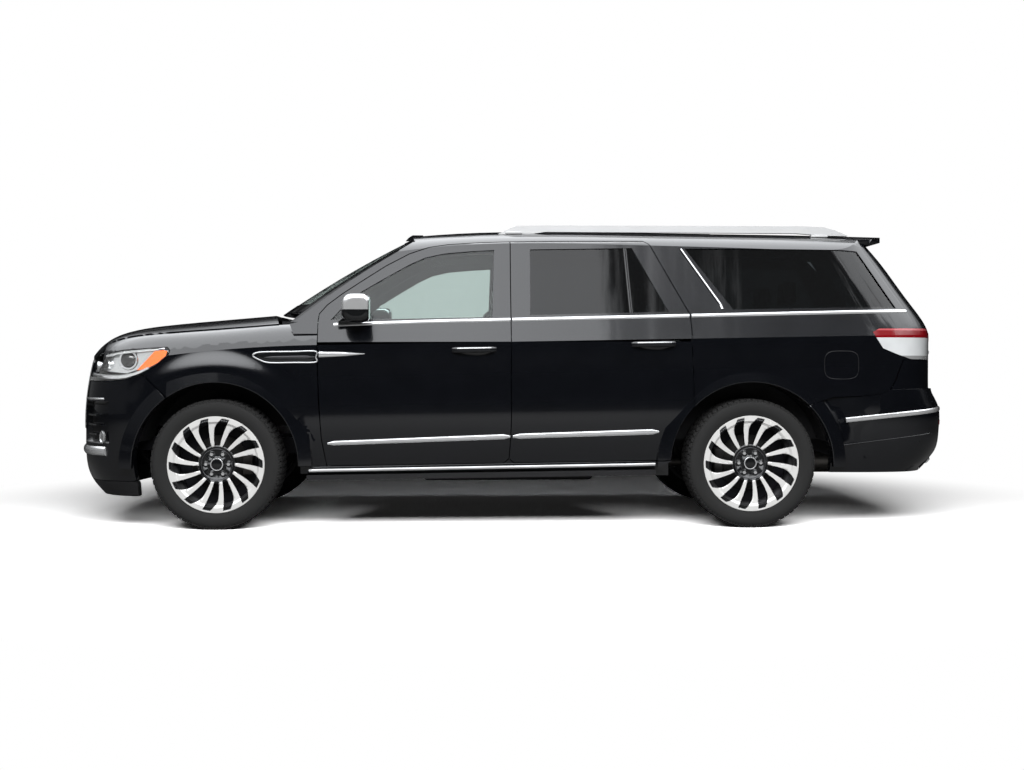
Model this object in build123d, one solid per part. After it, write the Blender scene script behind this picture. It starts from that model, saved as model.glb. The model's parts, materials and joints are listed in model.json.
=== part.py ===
"""Full-size three-row sport utility vehicle with doors, hood, liftgate, steering and wheels that move.

The car is drawn as on a body drawing: x runs rearward from the front axle line, y to the
car's right, z up from the ground, in millimetres. save() then moves each sub-component so
that the frame's origin lies on the ground under the middle of the car.
"""
from build123d import *
import os
from math import cos, exp, pi, radians, sin, sqrt, tan

os.makedirs("parts", exist_ok=True)

# ---------------------------------------------------------------- driving dimensions
WHEELBASE = 3343.0
NOSE_X = -955.0                 # foremost point of the bumper
TAIL_X = 4681.0                 # rearmost point of the bumper
MID_X = (NOSE_X + TAIL_X) / 2   # middle of the car, where the frame's origin goes
HALF_TRACK = 852.5
TYRE_RADIUS = 405.0
TYRE_WIDTH = 285.0
RIM_RADIUS = 284.0
KINGPIN_Y = 775.0
AXLE_Z = TYRE_RADIUS
ARCH_RADIUS = 511.0
FLARE_RADIUS = 592.0
FLARE_LIP, FLARE_FOOT = 8.0, 8.0
SHUT_GAP = 6.0

BODY_HALF_WIDTH = 1007.0        # widest stretch of the door skin
RAKE = 0.0175                   # the shoulder line climbs this much per mm towards the rear
RAKE_X = 616.0
SHOULDER_Z = 1148.0
SHOULDER_DROP = 6.0e-5          # how the shoulder line falls over the front fender
NOSE_POWER, NOSE_ROUND = 17.0, 2.65
TAIL_POWER, TAIL_ROUND = 24.0, 3.0
BODY_TAIL_X = 4606.0            # skin of the liftgate on the centreline

DOOR_THICK = 110.0
FRAME_THICK = 55.0              # window frames and pillars
FENDER_THICK = 45.0
ROOF_THICK = 28.0
GLASS_THICK = 5.0
DOOR_DRAFT = 0.38               # door rear edges lean forward this much per mm of depth

LEFT, RIGHT = -1, 1


# ---------------------------------------------------------------- body surfaces
def shoulder_z(x):
    """Height of the shoulder crease at station x."""
    return SHOULDER_Z + RAKE * (x - RAKE_X) - SHOULDER_DROP * max(0.0, RAKE_X - x) ** 2


def section_width(above):
    """Half width of the body at a height measured from the shoulder crease."""
    if above >= 0:
        return BODY_HALF_WIDTH - 1.0 - 0.384 * above + 3.0e-5 * above ** 2
    tuck = max(0.0, -above - 405.0)
    hollow = 4.0 * sin(pi * min(1.0, -above / 405.0)) ** 2
    return BODY_HALF_WIDTH - hollow - 3.6e-4 * tuck ** 2


def nose_x(z):
    """Front of the body on the centreline at height z."""
    chin = max(0.0, 420.0 - z)
    brow = max(0.0, z - 640.0)
    return NOSE_X + 2.1e-3 * chin ** 2 + 3.2e-4 * brow ** 2


def tail_x(z):
    """Rear of the body on the centreline at height z, the liftgate's skin."""
    lean = max(0.0, z - 1235.0)
    return BODY_TAIL_X - 0.69 * lean ** 2 / (lean + 45.0)


def half_width(x, z, side_inset=0.0, end_inset=0.0):
    """Half width of the body at station x and height z, pulled in by the two insets."""
    wide = section_width(z - shoulder_z(x)) - side_inset
    if x < MID_X:
        share = (MID_X - x) / (MID_X - nose_x(z) - end_inset)
        power, roundness = NOSE_POWER, NOSE_ROUND
    else:
        share = (x - MID_X) / (tail_x(z) - end_inset - MID_X)
        power, roundness = TAIL_POWER, TAIL_ROUND
    return wide * max(0.0, 1.0 - share ** power) ** (1.0 / roundness)


def roof_z(x, y):
    """Height of the roof skin."""
    crown = 7.0e-5 * (1900.0 - x) ** 2 if x < 1900.0 else 4.5e-6 * (x - 1900.0) ** 2
    across = abs(y) / 1000.0
    return 1914.0 - crown - 55.0 * across ** 2 - 611.0 * across ** 8


def hood_front_x(y):
    """Leading edge of the hood in plan."""
    share = min(0.999, abs(y) / BODY_HALF_WIDTH)
    length = MID_X + 905.0
    return MID_X - length * (1.0 - share ** NOSE_ROUND) ** (1.0 / NOSE_POWER)


def hood_z(x, y):
    """Height of the hood skin."""
    back = x - hood_front_x(y)
    side = (min(abs(y), 900.0) / 850.0) ** 3 - 0.2
    return 1242.0 + 0.086 * back - 172.0 * exp(-back / 114.0) - 60.0 * (1.0 - exp(-back / 250.0)) * side


def shut_y(x):
    """Half width of the hood at station x."""
    return half_width(x, shoulder_z(x)) - 130.0


def windscreen_point(rise, y, inset=0.0):
    """Point on the windscreen: rise runs from 0 at the cowl to 1 at the header."""
    bulge = 92.0 * rise * (1.0 - rise)
    x = 305.0 + 885.0 * rise + 150.0 * (y / 700.0) ** 2
    z = 1366.0 + 515.0 * rise + bulge
    return (x + 0.5 * inset, y, z - 0.86 * inset)


# ---------------------------------------------------------------- small helpers
def save(name, *solids):
    """Write one sub-component with the frame's origin under the middle of the car."""
    pieces = [piece for solid in solids for piece in solid.solids()]
    shape = pieces[0] if len(pieces) == 1 else Compound(pieces)
    export_step(Pos(-MID_X, 0, 0) * shape, "parts/" + name + ".step")


def box(x0, x1, y0, y1, z0, z1):
    """Box between two corners."""
    return Pos((x0 + x1) / 2, (y0 + y1) / 2, (z0 + z1) / 2) * Box(x1 - x0, y1 - y0, z1 - z0)


def polygon(points):
    """Flat face through points in space."""
    return Face(Wire.make_polygon([Vector(*point) for point in points], close=True))


def side_prism(points, y0=0.0, y1=1300.0):
    """Outline in x and z, run along y."""
    return Solid.extrude(polygon([(x, y0, z) for x, z in points]), Vector(0, y1 - y0, 0))


def plan_prism(points, z0, z1):
    """Outline in x and y, run along z."""
    return Solid.extrude(polygon([(x, y, z0) for x, y in points]), Vector(0, 0, z1 - z0))


def front_prism(points, x0, x1):
    """Outline in y and z, run along x."""
    return Solid.extrude(polygon([(x0, y, z) for y, z in points]), Vector(x1 - x0, 0, 0))


def drum(x, z, radius, y0, y1):
    """Cylinder along y."""
    return Pos(x, (y0 + y1) / 2, z) * Rot(90, 0, 0) * Cylinder(radius, y1 - y0)


def rod(start, end, radius):
    """Round bar between two points."""
    path = Vector(*end) - Vector(*start)
    return Solid.make_cylinder(radius, path.length, Plane(origin=start, z_dir=path))


def mirrored(solid):
    """The same piece on the other side of the car."""
    return mirror(solid, about=Plane.XZ)


def pair(*solids):
    """Pieces on both sides of the car."""
    return [piece for solid in solids for piece in (solid, mirrored(solid))]


def on_side(solid, side):
    """A piece drawn on the right, put on the wanted side."""
    return solid if side == RIGHT else mirrored(solid)


def grown(points, distance):
    """Closed outline pushed outward, corner for corner."""
    count = len(points)
    turn = sum(points[i][0] * points[(i + 1) % count][1] - points[(i + 1) % count][0] * points[i][1]
               for i in range(count))
    sign = 1.0 if turn > 0 else -1.0
    result = []
    for i in range(count):
        before, here, after = points[i - 1], points[i], points[(i + 1) % count]
        normals = []
        for a, b in ((before, here), (here, after)):
            length = sqrt((b[0] - a[0]) ** 2 + (b[1] - a[1]) ** 2)
            normals.append((sign * (b[1] - a[1]) / length, -sign * (b[0] - a[0]) / length))
        spread = 1.0 + normals[0][0] * normals[1][0] + normals[0][1] * normals[1][1]
        shift_x = (normals[0][0] + normals[1][0]) / spread * distance
        shift_z = (normals[0][1] + normals[1][1]) / spread * distance
        result.append((here[0] + shift_x, here[1] + shift_z) + tuple(here[2:]))
    return result


def surface(points):
    """Smooth face through a grid of points."""
    return Face.make_surface_from_array_of_points([[Vector(*point) for point in row] for row in points])


# ---------------------------------------------------------------- body blanks
LEVELS_LOWER = (-880.0, -740.0, -560.0, -405.0, -250.0, -110.0, 0.0)
LEVELS_UPPER = (0.0, 80.0, 170.0, 330.0, 520.0, 720.0)
CORNER_TURNS = (5.0, 10.0, 20.0, 35.0, 50.0, 65.0, 78.0)
BLANK_FRONT_X = 420.0


def level_wire(above, side_inset, end_inset):
    """Half plan of the cabin on a plane that climbs with the shoulder line."""
    def point(x, y):
        return Vector(x, y, SHOULDER_Z + above + RAKE * (x - RAKE_X))

    def corner(turn):
        tail = BODY_TAIL_X
        for _ in range(6):
            tail = tail_x(point(MID_X + (tail - MID_X) * sin(turn) ** (2 / TAIL_POWER), 0).Z) - end_inset
        x = MID_X + (tail - MID_X) * sin(turn) ** (2 / TAIL_POWER)
        wide = section_width(above) - side_inset
        return point(x, wide * max(0.0, cos(turn)) ** (2 / TAIL_ROUND))

    wide = section_width(above) - side_inset
    side = [point(x, wide) for x in (BLANK_FRONT_X, 1500.0, 2400.0, 3200.0, 3700.0)]
    side += [corner(radians(turn)) for turn in CORNER_TURNS]
    end = corner(pi / 2)
    end = Vector(end.X, 0, end.Z)
    skin = Edge.make_spline(side + [end])
    start = point(BLANK_FRONT_X, 0)
    return Wire([skin, Edge.make_line(end, start), Edge.make_line(start, side[0])])


def cabin_blank(levels, side_inset=0.0, end_inset=0.0):
    """Right half of the cabin between plan levels, filled to the centreline."""
    return Solid.make_loft([level_wire(level, side_inset, end_inset) for level in levels])


def under_roof(drop):
    """Everything below the roof skin lowered by drop."""
    xs = (300.0, 800.0, 1300.0, 1900.0, 2600.0, 3300.0, 4000.0, 4700.0)
    ys = (-150.0, 0.0, 200.0, 400.0, 560.0, 660.0, 740.0, 800.0, 850.0, 900.0, 960.0, 1020.0)
    skin = surface([[(x, y, roof_z(x, y) - drop) for y in ys] for x in xs])
    return Solid.extrude(skin, Vector(0, 0, -1500))


def ahead_of_screen(gap):
    """Everything in front of the windscreen surface moved rearward by gap."""
    rises = (-0.35, 0.0, 0.25, 0.5, 0.75, 1.0, 1.3)
    ys = (-1000.0, -700.0, -350.0, 0.0, 350.0, 700.0, 1000.0)
    points = [[windscreen_point(rise, y) for y in ys] for rise in rises]
    skin = surface([[(x + gap, y, z) for x, y, z in row] for row in points])
    return Solid.extrude(skin, Vector(-1500, 0, 0))


print("blanks")
LOWER_SHELL = cabin_blank(LEVELS_LOWER) - cabin_blank(LEVELS_LOWER, DOOR_THICK, 90.0)
UPPER_OUTER = cabin_blank(LEVELS_UPPER) & under_roof(0.0)
UPPER_SHELL = UPPER_OUTER - (cabin_blank(LEVELS_UPPER, FRAME_THICK, 60.0) & under_roof(60.0))
GLASS_SHELL = cabin_blank(LEVELS_UPPER, 8.0, 6.0) - cabin_blank(LEVELS_UPPER, 8.0 + GLASS_THICK,
                                                                   6.0 + GLASS_THICK)
SCREEN_SPACE = ahead_of_screen(4.0)
print("blanks done")


# ---------------------------------------------------------------- door and gate plugs
LEAN = 0.36                     # how far the glass and pillars lean in per mm of height
DRAWN_Z = 1170.0                # height where the upright and the leaning drawing planes meet


def upright_plug(points, depth_in, depth_out=60.0):
    """Ruled prism through the lower body; each point is x, z and its draft per mm of depth."""
    outer = [(x + draft * depth_out, BODY_HALF_WIDTH + depth_out, z) for x, z, draft in points]
    inner = [(x - draft * depth_in, BODY_HALF_WIDTH - depth_in, z) for x, z, draft in points]
    return Solid.make_loft([polygon(outer).outer_wire(), polygon(inner).outer_wire()], ruled=True)


def leaning_plug(points, depth_in, depth_out=70.0):
    """Ruled prism square to the leaning upper body; points are x, z and draft as above."""
    tilt = sqrt(1.0 + LEAN ** 2)

    def place(x, z, draft, depth):
        up = z - DRAWN_Z
        return (x - draft * depth, BODY_HALF_WIDTH - LEAN * up - depth / tilt, z - depth * LEAN / tilt)

    outer = [place(x, z, draft, -depth_out) for x, z, draft in points]
    inner = [place(x, z, draft, depth_in) for x, z, draft in points]
    return Solid.make_loft([polygon(outer).outer_wire(), polygon(inner).outer_wire()], ruled=True)


def arc_points(cx, cz, radius, start, end, count, draft):
    """Points along an arc, angles in degrees from +x towards +z."""
    turns = [start + (end - start) * i / (count - 1) for i in range(count)]
    return [(cx + radius * cos(radians(a)), cz + radius * sin(radians(a)), draft) for a in turns]


FRONT_DOOR_LOWER = [(633, DRAWN_Z, 0.0), (634, 1059, 0.0), (641, 813, 0.0), (657, 566, 0.0), (687, 398, 0.0),
                    (1800, 413, DOOR_DRAFT), (1831, 440, DOOR_DRAFT), (1831, DRAWN_Z, DOOR_DRAFT)]
FRONT_DOOR_UPPER = [(633, DRAWN_Z, 0.0), (633, 1300, 0.0), (640, 1347, 0.0), (686, 1401, 0.0),
                    (774, 1470, 0.0), (910, 1562, 0.0), (1046, 1651, 0.0), (1193, 1730, 0.0),
                    (1320, 1774, 0.0), (1438, 1794, 0.0),
                    (1633, 1806, 0.0), (1831, 1812, DOOR_DRAFT), (1831, DRAWN_Z, DOOR_DRAFT)]
REAR_ARCH_STEPS = arc_points(WHEELBASE, AXLE_Z, ARCH_RADIUS + SHUT_GAP, 177.0, 136.0, 6, DOOR_DRAFT)
REAR_DOOR_LOWER = [(1837, DRAWN_Z, DOOR_DRAFT), (1837, 442, DOOR_DRAFT), (1868, 414, DOOR_DRAFT),
                   (2790, 427, DOOR_DRAFT)] + REAR_ARCH_STEPS + [(2972, 800, DOOR_DRAFT),
                   (2974, 900, DOOR_DRAFT), (2970, 1011, DOOR_DRAFT), (2958, DRAWN_Z, DOOR_DRAFT)]
REAR_DOOR_UPPER = [(1837, DRAWN_Z, DOOR_DRAFT), (1837, 1812, DOOR_DRAFT), (2200, 1818, 0.0),
                   (2690, 1824, DOOR_DRAFT), (2718, 1800, DOOR_DRAFT), (2952, 1345, DOOR_DRAFT),
                   (2960, 1260, DOOR_DRAFT), (2958, DRAWN_Z, DOOR_DRAFT)]

FRONT_WINDOW = [(709, 1308, 0.0), (762, 1369, 0.0), (897, 1490, 0.0), (1051, 1582, 0.0), (1197, 1665, 0.0),
                (1293, 1709, 0.0), (1419, 1736, 0.0), (1584, 1750, 0.0), (1730, 1758, 0.0), (1715, 1325, 0.0)]
REAR_WINDOW = [(1953, 1338, 0.0), (1958, 1762, 0.0), (2610, 1771, 0.0), (2826, 1358, 0.0)]
QUARTER_WINDOW = [(2947, 1768, 0.0), (3234, 1372, 0.0), (4279, 1390, 0.0), (4066, 1762, 0.0)]
TAIL_LAMP = [(4105, 1231), (4149, 1253), (4640, 1257), (4640, 1056), (4357, 1061), (4268, 1090), (4170, 1129),
             (4135, 1182)]
HEADLAMP = [(-1000, 952), (-762, 952), (-689, 1096), (-582, 1116), (-339, 1132), (-297, 1134), (-279, 1116),
            (-286, 1082), (-368, 1017), (-469, 966), (-562, 934), (-633, 924), (-1000, 924)]


def flare(cx, x_limits, z_top=1000.0):
    """Raised lip round a wheel arch, thinning out away from the opening."""
    lip_y = BODY_HALF_WIDTH + FLARE_LIP
    foot_y = BODY_HALF_WIDTH - FLARE_FOOT
    profile = polygon([(cx + ARCH_RADIUS, foot_y - 25.0, AXLE_Z), (cx + ARCH_RADIUS, lip_y - 1.5, AXLE_Z),
                       (cx + ARCH_RADIUS + 5.0, lip_y, AXLE_Z), (cx + FLARE_RADIUS, foot_y, AXLE_Z),
                       (cx + FLARE_RADIUS, foot_y - 25.0, AXLE_Z)])
    ring = revolve(profile, axis=Axis((cx, 0, AXLE_Z), (0, 1, 0)), revolution_arc=360)
    return ring & box(x_limits[0], x_limits[1], 900, 1100, 385, z_top)


def door(lower, upper, window, grow=0.0):
    """Door solid: lower door, window frame and the opening cut for the glass."""
    low = LOWER_SHELL & upright_plug(lower, 230.0)
    high = UPPER_SHELL & leaning_plug(upper, 62.0)
    return (low + high) - leaning_plug(window, 260.0)


def opening(lower, upper):
    """The hole that a door closes, a shut gap larger than the door."""
    return upright_plug(grown(lower, SHUT_GAP), 260.0) + leaning_plug(grown(upper, SHUT_GAP), 250.0)


print("doors")
FRONT_FLARE = flare(0.0, (-304, 627))
REAR_FLARE = flare(WHEELBASE, (2700, 3950))
FRONT_DOOR = door(FRONT_DOOR_LOWER, FRONT_DOOR_UPPER, FRONT_WINDOW)
REAR_DOOR = door(REAR_DOOR_LOWER, REAR_DOOR_UPPER, REAR_WINDOW)
REAR_DOOR += REAR_FLARE & upright_plug(REAR_DOOR_LOWER, 40.0)
FRONT_PANE = GLASS_SHELL & leaning_plug(grown(FRONT_WINDOW, -0.5), 60.0)
REAR_PANE = GLASS_SHELL & leaning_plug(grown(REAR_WINDOW, -0.5), 60.0)
QUARTER_PANE = GLASS_SHELL & leaning_plug(grown(QUARTER_WINDOW, -0.5), 60.0)
for side, word in ((LEFT, "left"), (RIGHT, "right")):
    save("front_door_" + word, on_side(FRONT_DOOR, side))
    save("rear_door_" + word, on_side(REAR_DOOR, side))
    save("front_door_glass_" + word, on_side(FRONT_PANE, side))
    save("rear_door_glass_" + word, on_side(REAR_PANE, side))
save("quarter_windows", *pair(QUARTER_PANE))


MIRROR_SECTIONS = ((988.0, 96.0, 120.0, 36.0), (1010.0, 150.0, 158.0, 52.0), (1050.0, 184.0, 176.0, 62.0),
                   (1100.0, 190.0, 178.0, 64.0), (1145.0, 176.0, 164.0, 60.0), (1170.0, 120.0, 110.0, 46.0))


def mirror_housing():
    """Door mirror: a foot at the front corner of the window and a rounded head with a flat glass side."""
    wires = []
    for y, length, height, radius in MIRROR_SECTIONS:
        plane = Plane(origin=(884.0, y, 1374.0), x_dir=(1, 0, 0), z_dir=(0, 1, 0))
        wires.append((plane * RectangleRounded(length, height, radius)).face().outer_wire())
    head = Solid.make_loft(wires) - box(958, 1100, 900, 1300, 1200, 1500)
    foot = side_prism([(748, 1284), (900, 1290), (906, 1318), (860, 1338), (800, 1330)], 900, 1016)
    return (head + foot) - cabin_blank(LEVELS_UPPER, -1.0)


MIRROR = mirror_housing()
for side, word in ((LEFT, "left"), (RIGHT, "right")):
    save("door_mirror_" + word, on_side(MIRROR, side))


# ---------------------------------------------------------------- liftgate and rear
GATE_LEAN = 0.69                # how far the rear glass leans forward per mm of height
GATE_Z = 1250.0
GATE_DRAFT = 0.27
ROOF_SEAM_X = 4075.0
PLATE_HALF, PLATE_DEPTH = 285.0, 22.0


def gate_plug(points, depth_in=150.0, depth_out=120.0):
    """Ruled prism square to the leaning rear end; points are half width, z and draft."""
    tilt = sqrt(1.0 + GATE_LEAN ** 2)

    def place(y, z, draft, depth):
        return (BODY_TAIL_X - GATE_LEAN * (z - GATE_Z) - depth / tilt, y - draft * depth,
                z - depth * GATE_LEAN / tilt)

    outer = [place(y, z, draft, -depth_out) for y, z, draft in points]
    inner = [place(y, z, draft, depth_in) for y, z, draft in points]
    return Solid.make_loft([polygon(outer).outer_wire(), polygon(inner).outer_wire()], ruled=True)


GATE_UPPER = [(0, GATE_Z, 0.0), (738, GATE_Z, GATE_DRAFT), (726, 1330, GATE_DRAFT), (640, 1700, GATE_DRAFT),
              (560, 1960, GATE_DRAFT), (0, 1960, 0.0)]
GATE_GLASS = [(0, 1345, 0.0), (668, 1345, 0.0), (660, 1400, 0.0), (600, 1690, 0.0), (0, 1690, 0.0)]


def gate_blank():
    """Region of the liftgate, right half: upright below the belt, leaning above."""
    lower = box(4300, 4700, 0, 738, 878, GATE_Z + 30.0)
    return lower, gate_plug(GATE_UPPER)


print("gate")
GATE_LOW, GATE_HIGH = gate_blank()
BEHIND_SEAM = box(ROOF_SEAM_X + SHUT_GAP, 4800, -10, 900, 1200, 2000)
gate_right = (LOWER_SHELL & GATE_LOW) + (UPPER_SHELL & GATE_HIGH & BEHIND_SEAM)
gate_right = gate_right - gate_plug(GATE_GLASS, 260.0)
lip = side_prism([(4081, 1940), (4200, 1940), (4290, 1872), (4312, 1848), (4306, 1836), (4150, 1798),
                  (4081, 1800)], 0, 700)
lip = (lip & under_roof(0.0)) & plan_prism([(4070, 0), (4316, 0), (4314, 300), (4306, 470), (4282, 570),
                                            (4236, 640), (4170, 674), (4070, 686)], 1700, 2000)
gate_right += lip
gate_right -= box(BODY_TAIL_X - PLATE_DEPTH, 4700, -10, PLATE_HALF, 925, 1085)
GATE = gate_right + mirrored(gate_right)
save("liftgate", GATE)
GATE_PANE = [(0, 1345.5, 0.0), (667.4, 1345.5, 0.0), (659.4, 1400, 0.0), (599.5, 1689.5, 0.0),
             (0, 1689.5, 0.0)]
pane_right = GLASS_SHELL & gate_plug(GATE_PANE, 100.0)
save("liftgate_glass", pane_right + mirrored(pane_right))


# ---------------------------------------------------------------- windscreen
def windscreen(margin=0.0, depth=6.1):
    """Curved windscreen between the pillars; margin and depth also give the rebate it sits in."""
    def half(rise):
        return 852.0 - 182.0 * rise + 14.0 * rise ** 2 + margin

    grid = []
    for step in (0.0, 0.2, 0.4, 0.6, 0.8, 1.0):
        row = []
        for share in (-1.0, -0.75, -0.5, -0.25, 0.0, 0.25, 0.5, 0.75, 1.0):
            rise = step * (0.981 + margin / 500.0 - 0.132 * (share * half(step) / 700.0) ** 2)
            row.append(windscreen_point(rise, share * half(rise), 4.0 - margin))
        grid.append(row)
    return Solid.extrude(surface(grid), Vector(0.525 * depth, 0, -0.852 * depth))


save("windscreen", windscreen())


# ---------------------------------------------------------------- fixed body sides
def body_side():
    """Pillars, cant rail, rocker and quarter panel of the right side."""
    region_low = side_prism([(520, 346), (2745, 376), (2860, 440), (2870, 405), (3560, 745), (3701, 774.5),
                             (3853, 823), (4024, 829), (4160, 845), (4217, 873), (4251, 930), (4300, 1058),
                             (4640, 1058), (4640, 1290), (1000, 1290), (640, 1290), (640, 392), (520, 392)],
                            400, 1200)
    region_high = box(425, 4640, 400, 1200, 1292, 2000) + box(640, 4640, 400, 1200, 1100, 1293)
    low = LOWER_SHELL & region_low
    high = UPPER_SHELL & region_high & box(400, 4700, 690.5, 1100, 1000, 2000)
    high = high - SCREEN_SPACE - windscreen(4.0, 18.0)
    side = low + high
    side -= drum(WHEELBASE, AXLE_Z, ARCH_RADIUS, 600, 1100)
    side -= opening(FRONT_DOOR_LOWER, FRONT_DOOR_UPPER)
    side -= opening(REAR_DOOR_LOWER, REAR_DOOR_UPPER)
    side -= leaning_plug(QUARTER_WINDOW, 260.0)
    side -= side_prism(grown(TAIL_LAMP, 0.6), 500, 1200)
    side -= box(4300, 4700, 0, 738 + SHUT_GAP, 300, GATE_Z + 30.0)
    side -= gate_plug([(y + (SHUT_GAP * 1.15 if y else 0), z, draft) for y, z, draft in GATE_UPPER], 300.0)
    post = front_prism([(800, 320), (834, 320), (836, 460), (872, 660), (880, 1290), (708, 1812), (722, 1822),
                        (722, 1838), (694, 1838), (694, 1815), (655, 1790), (825, 1250)], 1770, 1890)
    sill = box(560, 2840, 795, 836, 320, 452)
    sill += side_prism([(600, 346), (2740, 376), (2740, 394), (600, 366)], 795, 880)
    lip_ring = (REAR_FLARE & region_low) - opening(REAR_DOOR_LOWER, REAR_DOOR_UPPER)
    return side + post + sill + lip_ring


print("body side")
BODY_SIDE = body_side()
save("body_sides", *pair(BODY_SIDE))

lamp = (LOWER_SHELL + UPPER_SHELL) & side_prism(TAIL_LAMP, 500, 1200)
lamp = lamp - box(4300, 4700, 0, 738 + SHUT_GAP, 300, GATE_Z + 30.0)
save("tail_lamps", *pair(lamp))

roof_right = (cabin_blank(LEVELS_UPPER, 0.0) & under_roof(0.0)) - under_roof(ROOF_THICK)
header = [(1185 + 33 * (y / 700.0) ** 2, y) for y in (0, 150, 300, 450, 580, 688)]
roof_right = roof_right & plan_prism(header + [(ROOF_SEAM_X, 688), (ROOF_SEAM_X, 0)], 1500, 2000)
save("roof_panel", roof_right + mirrored(roof_right))


def rear_bumper():
    """Rear bumper with wings that run forward to the wheel arches."""
    levels = ((345.0, 4560.0, -26.0), (430.0, 4628.0, -12.0), (520.0, 4672.0, -3.0), (640.0, TAIL_X, 1.0),
              (740.0, 4678.0, 1.0), (800.0, 4655.0, 0.0), (872.0, 4624.0, 0.0))

    def wire(z, tail, wider, inset):
        wide = BODY_HALF_WIDTH + wider - inset - 3.6e-4 * max(0.0, 745.0 - z) ** 2 * 0.6
        length = tail - inset - MID_X
        points = [(3500.0, wide)]
        for turn in (6.0, 12.0, 20.0, 35.0, 50.0, 65.0, 78.0, 90.0):
            a = radians(turn)
            points.append((MID_X + length * sin(a) ** (2 / TAIL_POWER),
                           wide * max(0.0, cos(a)) ** (2 / TAIL_ROUND)))
        points[-1] = (points[-1][0], 0.0)
        skin = Edge.make_spline([Vector(x, y, z) for x, y in points])
        start = Vector(3500.0, 0, z)
        return Wire([skin, Edge.make_line(Vector(points[-1][0], 0, z), start),
                     Edge.make_line(start, Vector(3500.0, wide, z))])

    outer = Solid.make_loft([wire(z, tail, wider, 0.0) for z, tail, wider in levels])
    inner = Solid.make_loft([wire(z, tail, wider, 70.0) for z, tail, wider in levels])
    region = side_prism([(3600, 345), (3854, 345), (4640, 345), (4800, 345), (4800, 872), (4300, 872),
                         (4212, 869),
                         (4157, 841), (4024, 825), (3853, 819), (3702, 770), (3560, 740)], -5, 1200)
    lower = ((outer - inner) & region) + (REAR_FLARE & region)
    lower -= drum(WHEELBASE, AXLE_Z, ARCH_RADIUS, 600, 1100)
    corner = LOWER_SHELL & side_prism([(4300, 860), (4223, 869), (4257, 929), (4305, 1054), (4640, 1054),
                                       (4640, 860)], 744, 1200)
    hitch_notch = box(4300, 4800, 0, 170, 300, 525) + box(4300, 4800, 170, 171.5, 300, 900)
    return (lower - hitch_notch) + (corner & box(4200, 4700, 744, 1200, 868, 1060))


print("bumpers")
bumper_right = rear_bumper()
save("rear_bumper", bumper_right + mirrored(bumper_right))


# ---------------------------------------------------------------- nose: bumper, grille, lamps, fenders, hood
NOSE_LEVELS = (196.0, 260.0, 340.0, 420.0, 560.0, 720.0, 880.0, 1000.0, 1080.0, 1140.0)
NOSE_BACK_X = -250.0


def nose_blank(inset):
    """Right half of the nose, drawn as plan outlines at several heights."""
    def wire(z):
        points = [(NOSE_BACK_X, half_width(NOSE_BACK_X, z, inset, inset))]
        wide = section_width(min(0.0, z - 1120.0)) - inset
        length = MID_X - nose_x(z) - inset
        for turn in (12.0, 20.0, 30.0, 42.0, 55.0, 67.0, 79.0, 90.0):
            a = radians(turn)
            x = MID_X - length * sin(a) ** (2 / NOSE_POWER)
            if x < NOSE_BACK_X - 60.0:
                points.append((x, wide * max(0.0, cos(a)) ** (2 / NOSE_ROUND)))
        points[-1] = (points[-1][0], 0.0)
        skin = Edge.make_spline([Vector(x, y, z) for x, y in points])
        start = Vector(NOSE_BACK_X, 0, z)
        return Wire([skin, Edge.make_line(Vector(points[-1][0], 0, z), start),
                     Edge.make_line(start, Vector(NOSE_BACK_X, points[0][1], z))])
    return Solid.make_loft([wire(z) for z in NOSE_LEVELS])


NOSE_OUTER = nose_blank(0.0)
NOSE_SHELL = NOSE_OUTER - nose_blank(70.0)
NOSE_INNER = nose_blank(34.0)    # floor of the intakes and back of the grille
GRILLE_HALF, GRILLE_LOW, GRILLE_HIGH = 560.0, 625.0, 1044.0
FRONT_ARCH = drum(0.0, AXLE_Z, ARCH_RADIUS, 500, 1150)


def front_bumper():
    """Front bumper, open for the grille, with wings that reach the wheel arches."""
    region = side_prism([(-1100, 300), (-520, 300), (-440, 330), (-304, 820), (-442, 957), (-520, 980),
                         (-1100, 980)], -5, 1200)
    shell = (NOSE_SHELL & region) + (NOSE_SHELL & box(-1100, -700, -5, 612, 900, 1042))
    shell -= side_prism(grown(HEADLAMP, 3.0), 616 - 3, 1200)
    shell += flare(0.0, (-620, -300)) & region
    shell -= box(-1200, -600, -10, GRILLE_HALF, GRILLE_LOW, GRILLE_HIGH + 40)
    mouth = front_prism([(-10, 396), (500, 396), (545, 420), (500, 566), (-10, 572)], -1100, -700)
    corner = front_prism([(640, 536), (980, 536), (980, 800), (610, 800), (600, 600)], -1100, -668)
    shell -= (mouth + corner) - NOSE_INNER
    return shell - FRONT_ARCH


bumper = front_bumper()
save("front_bumper", bumper + mirrored(bumper))
valance = NOSE_SHELL & side_prism([(-1100, 200), (-500, 200), (-493, 296), (-1100, 296)], -5, 1200)
valance = valance - FRONT_ARCH
save("front_valance", valance + mirrored(valance))
headlamp = (NOSE_SHELL & side_prism(HEADLAMP, 616, 1200))
save("headlamps", *pair(headlamp))


def grille():
    """Upright grille: a frame with rows of bars."""
    slab = NOSE_SHELL & box(-1100, -700, -5, GRILLE_HALF - 1.0, GRILLE_LOW + 1.0, GRILLE_HIGH - 1.0)
    slab = slab - NOSE_INNER
    rows, columns, half_bar = 7, 9, 6.0
    row_pitch = (GRILLE_HIGH - GRILLE_LOW - 60.0) / rows
    column_pitch = (2 * GRILLE_HALF - 60.0) / columns
    for row in range(rows):
        z = GRILLE_LOW + 30.0 + row_pitch * row
        for column in range(columns):
            y = -GRILLE_HALF + 30.0 + column_pitch * column
            if y + column_pitch > 0:
                slab -= box(-1100, -700, max(y + half_bar, -20.0), y + column_pitch - half_bar,
                            z + half_bar, z + row_pitch - half_bar)
    return slab


print("grille")
grille_right = grille()
save("radiator_grille", grille_right + mirrored(grille_right))


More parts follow.
